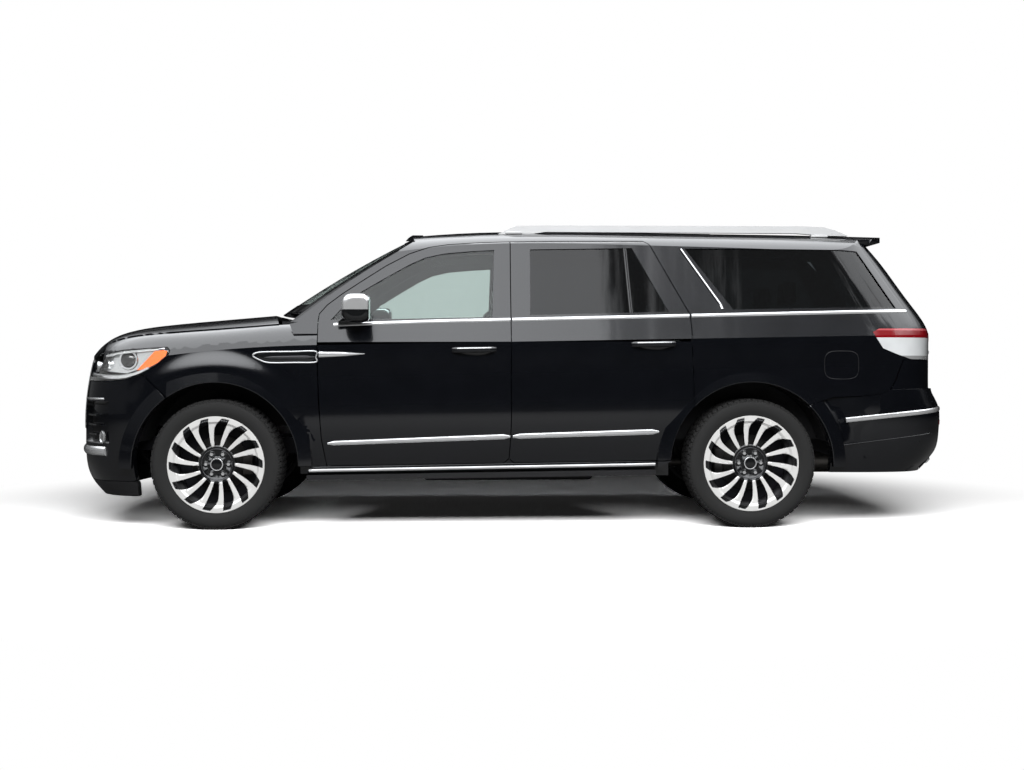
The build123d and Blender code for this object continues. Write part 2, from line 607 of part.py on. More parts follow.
def fender_blank(inset):
    """Right fender as sections across the car, with the shoulder crease as an edge."""
    wires = []
    for x in (-740.0, -660.0, -560.0, -440.0, -280.0, -100.0, 120.0, 380.0, 640.0):
        crease = shoulder_z(x)
        heights = [250.0 + (crease - 250.0) * step / 6.0 for step in range(7)]
        side = [Vector(x, half_width(x, z, inset, inset), z) for z in heights]
        top = Vector(x, shut_y(x) - 60.0 - inset * 0.3, hood_z(x, shut_y(x)) - inset * 0.7 + 4.0)
        foot, head = Vector(x, 0, 250.0), Vector(x, 0, top.Z)
        shoulder = Edge.make_spline([side[-1], top], tangents=[Vector(0, -0.40, 0.92), Vector(0, -1.0, 0.07)])
        wires.append(Wire([Edge.make_spline(side), shoulder, Edge.make_line(top, head),
                           Edge.make_line(head, foot), Edge.make_line(foot, side[0])]))
    return Solid.make_loft(wires)


def hood_outline(grow):
    """Plan of the hood, closed by its curved leading and rear edges."""
    stations = (-745.0, -680.0, -600.0, -480.0, -300.0, 0.0, 376.0)
    side = [(x, shut_y(x) + grow) for x in stations]
    rear = [(376.0 + grow, shut_y(376.0) + grow), (315.0 + grow, 560.0), (276.0 + grow, 300.0),
            (262.0 + grow, 0.0)]
    front = [(hood_front_x(y) + 6.0 - grow, y) for y in (640.0, 500.0, 320.0, 160.0, 0.0)]
    right = front[::-1] + side[:-1] + rear
    left = [(x, -y) for x, y in right[::-1] if y > 0]
    return right + left


def fender():
    """Front fender with its arch lip and the strip above the headlamp."""
    region = side_prism([(-296, 824), (-439, 963), (-470, 1010), (-720, 1010), (-720, 1400),
                         (627, 1400), (627, 1059), (634, 813), (650, 566), (680, 398), (505, 392), (300, 700),
                         (-200, 800)], 500, 1200)
    panel = (fender_blank(0.0) & region) - fender_blank(FENDER_THICK)
    panel += FRONT_FLARE & side_prism([(-296, 824), (-296, 1000), (627, 1000), (627, 398), (300, 398)],
                                      900, 1100)
    panel -= plan_prism(hood_outline(5.0), 900, 1500)
    panel -= box(250, 660, 0, shut_y(500.0) + 5.0, 1000, 1500)
    panel -= side_prism(grown(HEADLAMP, 3.0), 500, 1200)
    return panel - FRONT_ARCH


print("fender")
FENDER = fender()
save("front_fenders", *pair(FENDER))


def hood():
    """Hood panel with its crowned skin."""
    backs = (-4.0, 20.0, 60.0, 120.0, 200.0, 320.0, 500.0, 750.0, 1000.0, 1320.0)
    ys = [-900.0 + 100.0 * i for i in range(19)]
    grid = [[(hood_front_x(y) + back, y, hood_z(hood_front_x(y) + back, y)) for y in ys] for back in backs]
    slab = Solid.extrude(surface(grid), Vector(0, 0, -28))
    return slab & plan_prism(hood_outline(0.0), 900, 1500)


print("hood")
save("hood", hood())


# ---------------------------------------------------------------- glass, cowl, roof fittings
cowl_outline = [(300, 0), (318, 300), (352, 560), (386, 790), (520, 790), (470, 600), (400, 380), (372, 0)]
cowl_left = [(x, -y) for x, y in cowl_outline[::-1] if y > 0]
save("cowl", plan_prism(cowl_outline + cowl_left, 1262, 1300))


def roof_rail():
    """Roof rail on the right, standing on its two ends."""
    outer = [(1749, 1869), (1873, 1926), (2068, 1930), (3741, 1930), (3889, 1924), (3969, 1903), (4050, 1868),
             (3930, 1868), (3700, 1884), (2068, 1888), (1960, 1872)]
    return side_prism(outer, 598, 640) - under_roof(-1.0)


save("roof_rails", *pair(roof_rail()))
fin = side_prism([(1130, 1885), (1150, 1908), (1178, 1925), (1250, 1925), (1262, 1890)], -14, 14)
fin = fin - under_roof(-0.5)
board = side_prism([(560, 306), (2740, 334), (2740, 368), (560, 338)], 860, 978)


# ---------------------------------------------------------------- wheels
def tyre():
    """Tyre section turned about the axle, drawn at the origin."""
    half = TYRE_WIDTH / 2
    section = [(RIM_RADIUS, 118), (304, 118), (318, 134), (345, half), (376, half - 2), (396, half - 15),
               (404, 104),
               (TYRE_RADIUS, 60)]
    outline = section + [(radius, -y) for radius, y in section[::-1]]
    return revolve(polygon([(radius, y, 0) for radius, y in outline]), axis=Axis.Y, revolution_arc=360)


SPOKES = 14
LEADING_EDGE = ((112.0, -17.0), (160.0, -14.4), (205.0, -12.4), (250.0, -10.4), (294.0, -8.6))
TRAILING_EDGE = ((112.0, -7.0), (160.0, -5.6), (200.0, -4.0), (228.0, -2.2), (250.0, 0.6), (270.0, 4.0),
                 (294.0, 8.4))
LUG_CIRCLE = 70.0


def spoke():
    """One swept spoke, narrow at the hub and flared to one side at the rim; angles are from the top."""
    def edge(table):
        return Edge.make_spline([Vector(-radius * sin(radians(turn)), 40.0, radius * cos(radians(turn)))
                                 for radius, turn in table])

    leading, trailing = edge(LEADING_EDGE), edge(TRAILING_EDGE)
    outline = Wire([leading, Edge.make_line(leading @ 1, trailing @ 1), trailing,
                    Edge.make_line(trailing @ 0, leading @ 0)])
    return Solid.extrude(Face(outline), Vector(0, 100.0, 0))


def turned(section):
    """Ring or disc turned about the axle from points of radius and y."""
    return revolve(polygon([(radius, y, 0) for radius, y in section]), axis=Axis.Y, revolution_arc=360)


def rim():
    """Rim with swept spokes, lug wells, cap and brake disc, at the origin with its outer face to +y."""
    def ring(outer, inner, y0, y1):
        return drum(0, 0, outer, y0, y1) - drum(0, 0, inner, y0 - 1, y1 + 1)

    wheel = turned([(283.5, -125), (283.5, 127), (268, 127), (268, 80), (252, 60), (252, -20), (266, -40),
                    (266, -125)])
    wheel += turned([(301, 118.5), (301, 126), (299, 128), (290, 128), (286, 124), (275, 122), (275, 118.5)])
    wheel += ring(301.0, 270.0, -128, -118.5)
    dish = turned([(96, 54), (96, 91), (130, 95), (200, 106), (262, 117), (288, 121.5), (288, 118.5),
                   (272, 118.5),
                   (272, 84), (200, 76), (130, 62)])
    blade = spoke() & dish
    for index in range(SPOKES):
        wheel += Rot(0, 360.0 / SPOKES * index, 0) * blade
    hub = turned([(0, -48), (84, -48), (84, 40), (118, 56), (118, 88), (112, 92), (100, 92), (96, 84),
                  (42, 84),
                  (40, 94), (34, 96), (0, 96)])
    for index in range(6):
        turn = radians(60.0 * index)
        hub -= drum(LUG_CIRCLE * cos(turn), LUG_CIRCLE * sin(turn), 14.0, 66, 90)
    wheel += hub
    wheel += drum(0, 0, 176, -46, -22)
    return wheel - drum(0, 0, 30.5, -60, 40)


print("wheels")
TYRE, RIM = tyre(), rim()


def knuckle():
    """Steering knuckle on the right: upright, spindle and brake caliper."""
    plate = drum(0, AXLE_Z, 62, 752, 796)
    spindle = drum(0, AXLE_Z, 30, 752, 890)
    upright = box(-24, 24, 752, 790, AXLE_Z - 128, AXLE_Z + 143)
    arm = box(24, 150, 752, 772, AXLE_Z - 30, AXLE_Z + 10)
    bracket = box(40, 200, 762, 796, AXLE_Z + 20, AXLE_Z + 62)
    caliper = box(146, 204, 762, 850, AXLE_Z - 70, AXLE_Z + 80) - drum(0, AXLE_Z, 182, 799, 836)
    return plate + spindle + upright + arm + bracket + caliper


KNUCKLE = knuckle()
for side, word in ((LEFT, "left"), (RIGHT, "right")):
    save("steering_knuckle_" + word, on_side(KNUCKLE, side))
    for x, end in ((0.0, "front"), (WHEELBASE, "rear")):
        place = Pos(x, HALF_TRACK, AXLE_Z)
        save(end + "_tyre_" + word, on_side(place * TYRE, side))
        facing = Rot(0, 0, 0 if side == RIGHT else 180)
        save(end + "_rim_" + word, Pos(x, side * HALF_TRACK, AXLE_Z) * facing * RIM)


# ---------------------------------------------------------------- chassis
def rail(side_y=440.0):
    """Frame rail on the right, kicked up over the rear axle."""
    half = 40.0
    outline = [(-800, 470), (-800, 560), (600, 540), (900, 470), (2500, 470), (2850, 580), (3800, 580),
               (4000, 520), (4480, 520), (4480, 420), (3980, 420), (3780, 480), (2880, 480), (2520, 370),
               (880, 370), (580, 440)]
    return side_prism(outline, side_y - half, side_y + half)


def ladder_frame():
    """Two rails joined by cross-members, with a tow receiver at the rear."""
    frame = rail() + mirrored(rail())
    for x, z in ((-760, 490), (880, 400), (2450, 390), (3950, 440), (4410, 440)):
        frame += box(x, x + 70, -420, 420, z, z + 60)
    receiver = box(4420, 4620, -38, 38, 432, 508) - box(4440, 4630, -26, 26, 444, 496)
    receiver -= drum(4560, 470, 8.0, -60, 60)
    return frame + receiver


save("ladder_frame", ladder_frame())


def front_suspension():
    """Wishbones and struts that carry the front knuckles."""
    pieces = []
    for z, ball_z, inner_y in ((265.0, AXLE_Z - 152.0, 482.0), (600.0, AXLE_Z + 162.0, 482.0)):
        ball = Pos(0, KINGPIN_Y - 4.0, ball_z) * Cylinder(20, 34)
        leg_a = rod((0, KINGPIN_Y - 10.0, ball_z), (-120, inner_y, z), 15)
        leg_b = rod((0, KINGPIN_Y - 10.0, ball_z), (120, inner_y, z), 15)
        pieces.append(ball + leg_a + leg_b)
    return pieces


save("front_suspension", *pair(*front_suspension()))
axle = drum(WHEELBASE, AXLE_Z, 30, 120, 796) + drum(WHEELBASE, AXLE_Z, 60, 752, 796)
axle += drum(WHEELBASE, AXLE_Z, 30, 752, 890)
axle_housing = Pos(WHEELBASE, 0, AXLE_Z) * Sphere(130)
save("rear_axle", axle + mirrored(axle) + axle_housing)
rear_links = []
for x in (WHEELBASE - 160, WHEELBASE + 160):
    rear_links.append(rod((x, 380, 330), (WHEELBASE + (x - WHEELBASE) * 0.3, 735, 315), 16))
save("rear_suspension", *pair(*rear_links))
save("engine_block", box(-250, 420, -300, 300, 560, 1020))
save("fuel_tank", fillet(box(1260, 2400, -390, -70, 250, 470).edges(), 30))
pipe = rod((500, 200, 330), (3900, 200, 330), 32)
muffler = Pos(4150, 200, 340) * Rot(0, 90, 0) * Cylinder(90, 480)
save("exhaust_system", pipe + rod((3890, 200, 330), (3930, 200, 330), 40) + muffler)


# ---------------------------------------------------------------- floor and cabin
def body_floor():
    """Floor pan, firewall and inner wheelhouses."""
    pan = box(560, 4440, -630, 630, 600, 630) + box(620, 2800, -790, 790, 600, 630)
    wall = box(540, 570, -790, 790, 600, 1255)
    return pan + wall


save("body_floor", body_floor())


def arch_liner(cx, wall_y, outer_y, wall_foot):
    """Shell above a wheel, with a wall on its inboard side."""
    shell = drum(cx, AXLE_Z, 526, wall_y, outer_y) - drum(cx, AXLE_Z, 518, wall_y + 6, outer_y + 1)
    keep = box(cx - 600, cx + 520, wall_y - 10, 1000, 540, 1100)
    keep -= box(cx - 530, cx + 530, 400, wall_y + 6, 300, wall_foot)
    return shell & keep


LINERS = (arch_liner(0.0, 484.0, 880.0, 624.0), arch_liner(WHEELBASE, 648.0, 868.0, 470.0))
save("wheel_arch_liners", *pair(*LINERS))


CONSOLE_HALF = 118.0


def seat(x, y, width, heads=(0.0,)):
    """Seat with a cushion, a leaning backrest and head restraints on posts."""
    half = width / 2
    cushion = fillet(box(x, x + 500, y - half, y + half, 800, 935).edges(), 34)
    back = side_prism([(x + 400, 900), (x + 545, 890), (x + 668, 1360), (x + 640, 1398), (x + 590, 1396),
                       (x + 548, 1360)], y - half, y + half)
    back = fillet(back.edges(), 20)
    base = box(x + 60, x + 440, y - half + 60, y + half - 60, 631, 812)
    whole = cushion + back + base
    for offset in heads:
        middle = y + offset
        whole += fillet(box(x + 606, x + 706, middle - 125, middle + 125, 1425, 1590).edges(), 34)
        whole += rod((x + 634, middle - 55, 1370), (x + 652, middle - 55, 1450), 7)
        whole += rod((x + 634, middle + 55, 1370), (x + 652, middle + 55, 1450), 7)
    return whole


save("front_seats", *pair(seat(1120, 400, 540)))
save("second_row_seats", *pair(seat(2120, 400, 540)))
save("third_row_seat", seat(3060, 0, 1180, (-370.0, 370.0)))


def dashboard():
    """Dashboard with an instrument hood, a rounded face and a console between the front seats."""
    board = side_prism([(600, 850), (790, 862), (884, 1010), (896, 1070), (862, 1172), (820, 1196),
                        (600, 1262)], -740, 740)
    board = fillet(board.edges().filter_by(Axis.Y), 14)
    hood = side_prism([(700, 1180), (872, 1160), (884, 1200), (850, 1224), (700, 1236)], -560, -240)
    console = side_prism([(904, 631), (1560, 631), (1560, 880), (1530, 906), (1240, 902), (1200, 868),
                          (980, 862), (930, 905), (904, 915)], -CONSOLE_HALF, CONSOLE_HALF)
    return board + hood, fillet(console.edges().filter_by(Axis.X), 18)


def steering_wheel():
    """Steering wheel with three spokes and a centre pad, on its leaning column."""
    plane = Plane(origin=(1010, -400, 1130), x_dir=(0, 1, 0), z_dir=(0.94, 0, 0.34))
    rim_ring = Torus(180, 15)
    spokes = Box(350, 34, 14) + Pos(0, -88, 0) * Box(46, 176, 14)
    pad = Pos(0, -6, 8) * fillet(Box(150, 124, 40).edges(), 16)
    column = Pos(0, 0, -55) * Cylinder(26, 70)
    return plane * (rim_ring + spokes + pad + column)


save("dashboard", *dashboard())
save("steering_wheel", steering_wheel())
save("roof_antenna", fin)
save("running_boards", *pair(board))
print("all written")
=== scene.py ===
"""Finished surfaces, trim and cabin of a three-row sport utility vehicle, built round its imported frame.

Lengths in the classes are metres. Stations along the car are measured as on the body drawing,
rearward from the front axle, and station() turns one into the frame's own x.
"""

import json
import logging
import math
from dataclasses import dataclass, field
from enum import Enum
from typing import Callable, Sequence

import bmesh
import bpy
import numpy as np
from mathutils import Matrix, Vector

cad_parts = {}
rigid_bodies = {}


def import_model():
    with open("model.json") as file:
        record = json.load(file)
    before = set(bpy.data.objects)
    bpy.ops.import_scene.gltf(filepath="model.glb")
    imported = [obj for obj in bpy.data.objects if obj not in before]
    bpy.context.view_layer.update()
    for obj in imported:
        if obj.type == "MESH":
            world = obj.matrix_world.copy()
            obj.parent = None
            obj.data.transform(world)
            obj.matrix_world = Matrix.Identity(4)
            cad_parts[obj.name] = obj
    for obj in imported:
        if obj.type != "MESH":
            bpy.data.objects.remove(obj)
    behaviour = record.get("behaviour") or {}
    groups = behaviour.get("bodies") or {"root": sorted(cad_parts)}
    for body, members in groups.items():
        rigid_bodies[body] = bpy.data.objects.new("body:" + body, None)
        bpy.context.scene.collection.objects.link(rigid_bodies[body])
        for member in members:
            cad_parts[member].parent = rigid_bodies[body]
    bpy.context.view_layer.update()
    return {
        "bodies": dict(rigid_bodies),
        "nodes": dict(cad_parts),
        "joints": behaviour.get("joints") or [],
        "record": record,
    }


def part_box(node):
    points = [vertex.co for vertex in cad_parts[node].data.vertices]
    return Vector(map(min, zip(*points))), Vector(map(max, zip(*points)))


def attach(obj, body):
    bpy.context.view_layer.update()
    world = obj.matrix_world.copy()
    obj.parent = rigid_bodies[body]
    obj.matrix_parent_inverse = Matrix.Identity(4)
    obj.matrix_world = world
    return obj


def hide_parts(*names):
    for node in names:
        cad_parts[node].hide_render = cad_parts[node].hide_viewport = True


LOG = logging.getLogger("vehicle")
Point = tuple[float, float, float]
Pair = tuple[float, float]
Line = tuple[Pair, ...]                         # corners of an outline, or rows of (station, height)
Place = Callable[[float, float, float], Point]
Object = bpy.types.Object
Socket = bpy.types.NodeSocket
LEFT, RIGHT = -1, 1
SIDES = ((LEFT, "left"), (RIGHT, "right"))
MID_STATION = 1.863                             # station of the frame's origin
WHEELBASE = 3.343
AXLE_Z = 0.405                                  # height of the wheel centres
HALF_TRACK = 0.8525                             # from the centreline to a wheel's middle


def station(x: float) -> float:
    """Frame x of a station measured from the front axle."""
    return x - MID_STATION


class Wiring:
    """One node tree, whose nodes are joined as they are added."""

    def __init__(self, tree: bpy.types.NodeTree) -> None:
        """Hold the tree."""
        self.tree = tree

    def feed(self, node: bpy.types.Node, inputs: dict[str | int, object]) -> bpy.types.Node:
        """Join sockets to a node's inputs, or give the inputs plain values.

        Args:
            node: the node.
            inputs: what each input takes, a socket or a value.

        Returns:
            The same node.
        """
        for key, value in inputs.items():
            if isinstance(value, Socket):
                self.tree.links.new(value, node.inputs[key])
            else:
                node.inputs[key].default_value = value
        return node

    def add(self, kind: str, inputs: dict[str | int, object] | None = None, **settings: object) -> bpy.types.Node:
        """Add a node.

        Args:
            kind: its type.
            inputs: what each input takes, a socket or a value.
            settings: its other properties, set first.

        Returns:
            The new node.
        """
        node = self.tree.nodes.new(kind)
        for name, value in settings.items():
            setattr(node, name, value)
        return self.feed(node, inputs or {})

    def maths(self, operation: str, *values: object) -> Socket:
        """Result of a Math node on sockets and plain numbers."""
        return self.add("ShaderNodeMath", dict(enumerate(values)), operation=operation).outputs[0]

    def seen(self, path: bpy.types.Node) -> Socket:
        """One for rays from the camera, straight or through glass, given the Light Path node."""
        return self.maths("MAXIMUM", path.outputs["Is Camera Ray"], path.outputs["Is Transmission Ray"])


# ------------------------------------------------------------------ finishes
class Grain(Enum):
    """Kinds of surface detail that a finish can carry."""

    PAINT = "paint"
    SMOOTH = "smooth"
    CAST = "cast"
    PEBBLE = "pebble"
    LEATHER = "leather"
    PILE = "pile"
    BRUSHED = "brushed"
    RUBBER = "rubber"
    CLEAR = "clear"


@dataclass(frozen=True)
class Finish:
    """One material: its plain numbers and the grain that varies it.

    The shader's own sockets hold every number that is the same all over the surface.
    """

    name: str
    slot: str
    colour: Point
    metallic: float = 0.0
    roughness: float = 0.5
    specular: float = 0.5
    coat: float = 0.0
    transmission: float = 0.0
    grain: Grain = Grain.SMOOTH
    size: float = 0.004
    depth: float = 0.0002
    mottle: float = 0.12
    glow: float = 0.0

    def material(self) -> bpy.types.Material:
        """Return the material, made the first time it is asked for."""
        found = bpy.data.materials.get(self.name)
        if found is not None:
            return found
        material = bpy.data.materials.new(self.name)
        material.use_nodes = True
        material.diffuse_color = (*self.colour, 1.0)
        wires = Wiring(material.node_tree)
        shader = wires.feed(material.node_tree.nodes["Principled BSDF"], {
            "Metallic": self.metallic, "Specular IOR Level": self.specular, "Coat Weight": self.coat,
            "Coat Roughness": 0.02, "Transmission Weight": self.transmission})
        if self.glow:
            wires.feed(shader, {"Emission Color": (*self.colour, 1.0), "Emission Strength": self.glow})
        self._surface(wires, shader)
        return material

    def _surface(self, wires: Wiring, shader: bpy.types.Node) -> None:
        """Wire the grain into the shader's colour, roughness and normal.

        Args:
            wires: node tree of the material.
            shader: its Principled BSDF.
        """
        place = wires.add("ShaderNodeTexCoord").outputs["Object"]
        stretch = {Grain.BRUSHED: (1.0, 1.0, 0.04), Grain.PILE: (1.0, 1.0, 1.6)}.get(self.grain, (1.0, 1.0, 1.0))
        fine = wires.add("ShaderNodeMapping", {"Scale": [share / self.size for share in stretch], "Vector": place})
        inputs = {"Scale": 1.0, "Vector": fine.outputs["Vector"]}
        if self.grain in (Grain.PEBBLE, Grain.LEATHER):
            feature = "DISTANCE_TO_EDGE" if self.grain is Grain.LEATHER else "SMOOTH_F1"
            height = wires.add("ShaderNodeTexVoronoi", inputs, feature=feature).outputs["Distance"]
        else:
            height = wires.add("ShaderNodeTexNoise", {"Detail": 3.0, **inputs}).outputs["Fac"]
        broad = wires.add("ShaderNodeTexNoise", {"Scale": 6.0, "Detail": 2.0, "Vector": place}).outputs["Fac"]
        tone = wires.add("ShaderNodeMix", {"A": self._tone(1.0 - self.mottle), "B": self._tone(1.0 + self.mottle),
                                           "Factor": broad}, data_type="RGBA")
        spread = 0.15 if self.grain is Grain.PAINT else 0.35
        rough = wires.add("ShaderNodeMapRange", {
            "To Min": self.roughness * (1.0 - spread), "To Max": min(1.0, self.roughness * (1.0 + spread)),
            "Value": broad})
        wires.feed(shader, {"Base Color": tone.outputs["Result"], "Roughness": rough.outputs["Result"]})
        if self.depth > 0.0:
            bump = wires.add("ShaderNodeBump", {"Distance": self.depth, "Strength": 0.6, "Height": height})
            wires.feed(shader, {"Normal": bump.outputs["Normal"]})

    def _tone(self, share: float) -> tuple[float, ...]:
        """The colour made darker or lighter, with full alpha."""
        return (*[min(1.0, part * share) for part in self.colour], 1.0)


PAINT = Finish("gloss_black_paint", "body_paint", (0.0026, 0.0030, 0.0042), roughness=0.20, specular=0.45,
               coat=1.0, grain=Grain.PAINT, size=0.0012, depth=0.0, mottle=0.25)
GLOSS_BLACK = Finish("gloss_black_trim", "black_trim", (0.006, 0.0065, 0.007), roughness=0.12, coat=0.5,
                     grain=Grain.PAINT, size=0.003, depth=0.0)
SATIN_BLACK = Finish("satin_black_trim", "black_trim", (0.012, 0.012, 0.013), roughness=0.45,
                     grain=Grain.PEBBLE, size=0.0012, depth=0.00008)
MOULDED = Finish("moulded_black_plastic", "lower_trim", (0.014, 0.014, 0.015), roughness=0.6,
                 grain=Grain.PEBBLE, size=0.0015)
CHROME = Finish("polished_bright_trim", "bright_trim", (0.86, 0.87, 0.88), metallic=0.72, roughness=0.09,
                size=0.02, depth=0.00002, mottle=0.04)
RAIL = Finish("satin_anodised_rail", "rail_metal", (0.62, 0.63, 0.64), metallic=0.20, roughness=0.32,
              grain=Grain.BRUSHED, size=0.002, depth=0.00003, mottle=0.05)
FRONT_GLASS = Finish("clear_tinted_glass", "cabin_glass", (0.60, 0.685, 0.66), roughness=0.0,
                     transmission=1.0, grain=Grain.CLEAR, depth=0.0, mottle=0.02)
DARK_GLASS = Finish("dark_privacy_glass", "privacy_glass", (0.035, 0.042, 0.045), roughness=0.0,
                    transmission=1.0, grain=Grain.CLEAR, depth=0.0, mottle=0.05)
LENS = Finish("clear_lamp_lens", "lamp_lens", (0.97, 0.98, 0.98), roughness=0.0, transmission=1.0,
              grain=Grain.CLEAR, depth=0.0, mottle=0.01)
SILVERED = Finish("silvered_reflector", "bright_trim", (0.70, 0.71, 0.72), metallic=0.75, roughness=0.14,
                  size=0.02, depth=0.0, mottle=0.05)
MIRROR_GLASS = Finish("mirror_glass", "bright_trim", (0.80, 0.82, 0.84), metallic=1.0, roughness=0.02,
                      size=0.05, depth=0.0, mottle=0.02)
ROOF_GLASS = Finish("dark_roof_glass", "privacy_glass", (0.004, 0.0045, 0.005), roughness=0.05, specular=0.6,
                    coat=0.5, size=0.05, depth=0.0)
PINK_LENS = Finish("pale_red_lens", "tail_lens", (0.42, 0.07, 0.08), roughness=0.08, coat=1.0,
                   grain=Grain.PEBBLE, size=0.006, depth=0.0004, glow=0.2)
RED_LENS = Finish("red_lamp_lens", "tail_lens", (0.17, 0.002, 0.005), roughness=0.08, coat=1.0,
                  grain=Grain.PEBBLE, size=0.006, depth=0.0006, glow=0.25)
AMBER_LENS = Finish("amber_reflector", "lamp_lens", (0.95, 0.16, 0.01), roughness=0.12, coat=1.0,
                    grain=Grain.PEBBLE, size=0.005, depth=0.0008, glow=0.35)
WHITE_LENS = Finish("frosted_clear_lens", "tail_lens", (0.62, 0.64, 0.65), roughness=0.1, coat=1.0,
                    grain=Grain.PEBBLE, size=0.007, depth=0.0008, mottle=0.2)
RUBBER = Finish("tyre_rubber", "tyre_rubber", (0.042, 0.043, 0.043), roughness=0.60, grain=Grain.RUBBER,
                size=0.003, depth=0.00015, mottle=0.3)
MACHINED = Finish("machined_alloy_face", "rim_metal", (0.82, 0.82, 0.81), metallic=0.30, roughness=0.24,
                  grain=Grain.BRUSHED, size=0.0015, depth=0.00004, mottle=0.06)
POCKET = Finish("gloss_black_alloy", "rim_metal", (0.006, 0.0065, 0.007), roughness=0.15, coat=0.8,
                grain=Grain.CAST, depth=0.00005)
BARREL = Finish("painted_alloy_barrel", "rim_metal", (0.10, 0.10, 0.105), metallic=0.7, roughness=0.4,
                grain=Grain.CAST, depth=0.00008)
CAST_IRON = Finish("cast_iron", "cast_parts", (0.14, 0.13, 0.125), metallic=0.8, grain=Grain.CAST, size=0.003,
                   depth=0.0003, mottle=0.3)
BRAKE_DISC = Finish("turned_brake_disc", "cast_parts", (0.20, 0.195, 0.19), metallic=0.9, roughness=0.40,
                    grain=Grain.BRUSHED, size=0.002, depth=0.00005, mottle=0.15)
CALIPER = Finish("painted_caliper", "cast_parts", (0.035, 0.034, 0.034), roughness=0.4, coat=0.3,
                 grain=Grain.CAST, size=0.003, depth=0.0003)
FRAME_PAINT = Finish("chassis_paint", "chassis_paint", (0.018, 0.018, 0.019), grain=Grain.CAST, size=0.006,
                     depth=0.0003, mottle=0.3)
STEEL = Finish("dull_steel_pipe", "steel_parts", (0.36, 0.34, 0.32), metallic=0.9, roughness=0.42,
               grain=Grain.CAST, size=0.01, mottle=0.3)
ALUMINIUM = Finish("cast_aluminium", "cast_parts", (0.42, 0.42, 0.43), metallic=0.9, roughness=0.45,
                   grain=Grain.CAST, depth=0.0003, mottle=0.15)
LEATHER = Finish("black_leather", "seat_leather", (0.017, 0.016, 0.0155), roughness=0.48, grain=Grain.LEATHER,
                 depth=0.0005, mottle=0.2)
STITCH = Finish("grey_stitching", "seat_leather", (0.16, 0.155, 0.15), roughness=0.7, grain=Grain.PILE,
                size=0.001)
CABIN_BLACK = Finish("soft_cabin_plastic", "cabin_trim", (0.020, 0.020, 0.021), roughness=0.55,
                     grain=Grain.LEATHER, size=0.003, depth=0.0003, mottle=0.15)
CABIN_CLOTH = Finish("grey_headliner", "cabin_trim", (0.21, 0.205, 0.20), roughness=0.9, grain=Grain.PILE,
                     size=0.0012, depth=0.0003, mottle=0.1)
WOOD = Finish("dark_wood_inlay", "cabin_trim", (0.045, 0.028, 0.020), roughness=0.3, coat=0.6,
              grain=Grain.BRUSHED, size=0.006, depth=0.0001, mottle=0.4)
SCREEN = Finish("display_glass", "cabin_trim", (0.004, 0.005, 0.006), roughness=0.06, coat=1.0, size=0.05,
                depth=0.0)
CARPET = Finish("black_carpet", "carpet", (0.016, 0.016, 0.017), roughness=0.95, grain=Grain.PILE, size=0.002,
                depth=0.0015, mottle=0.3)


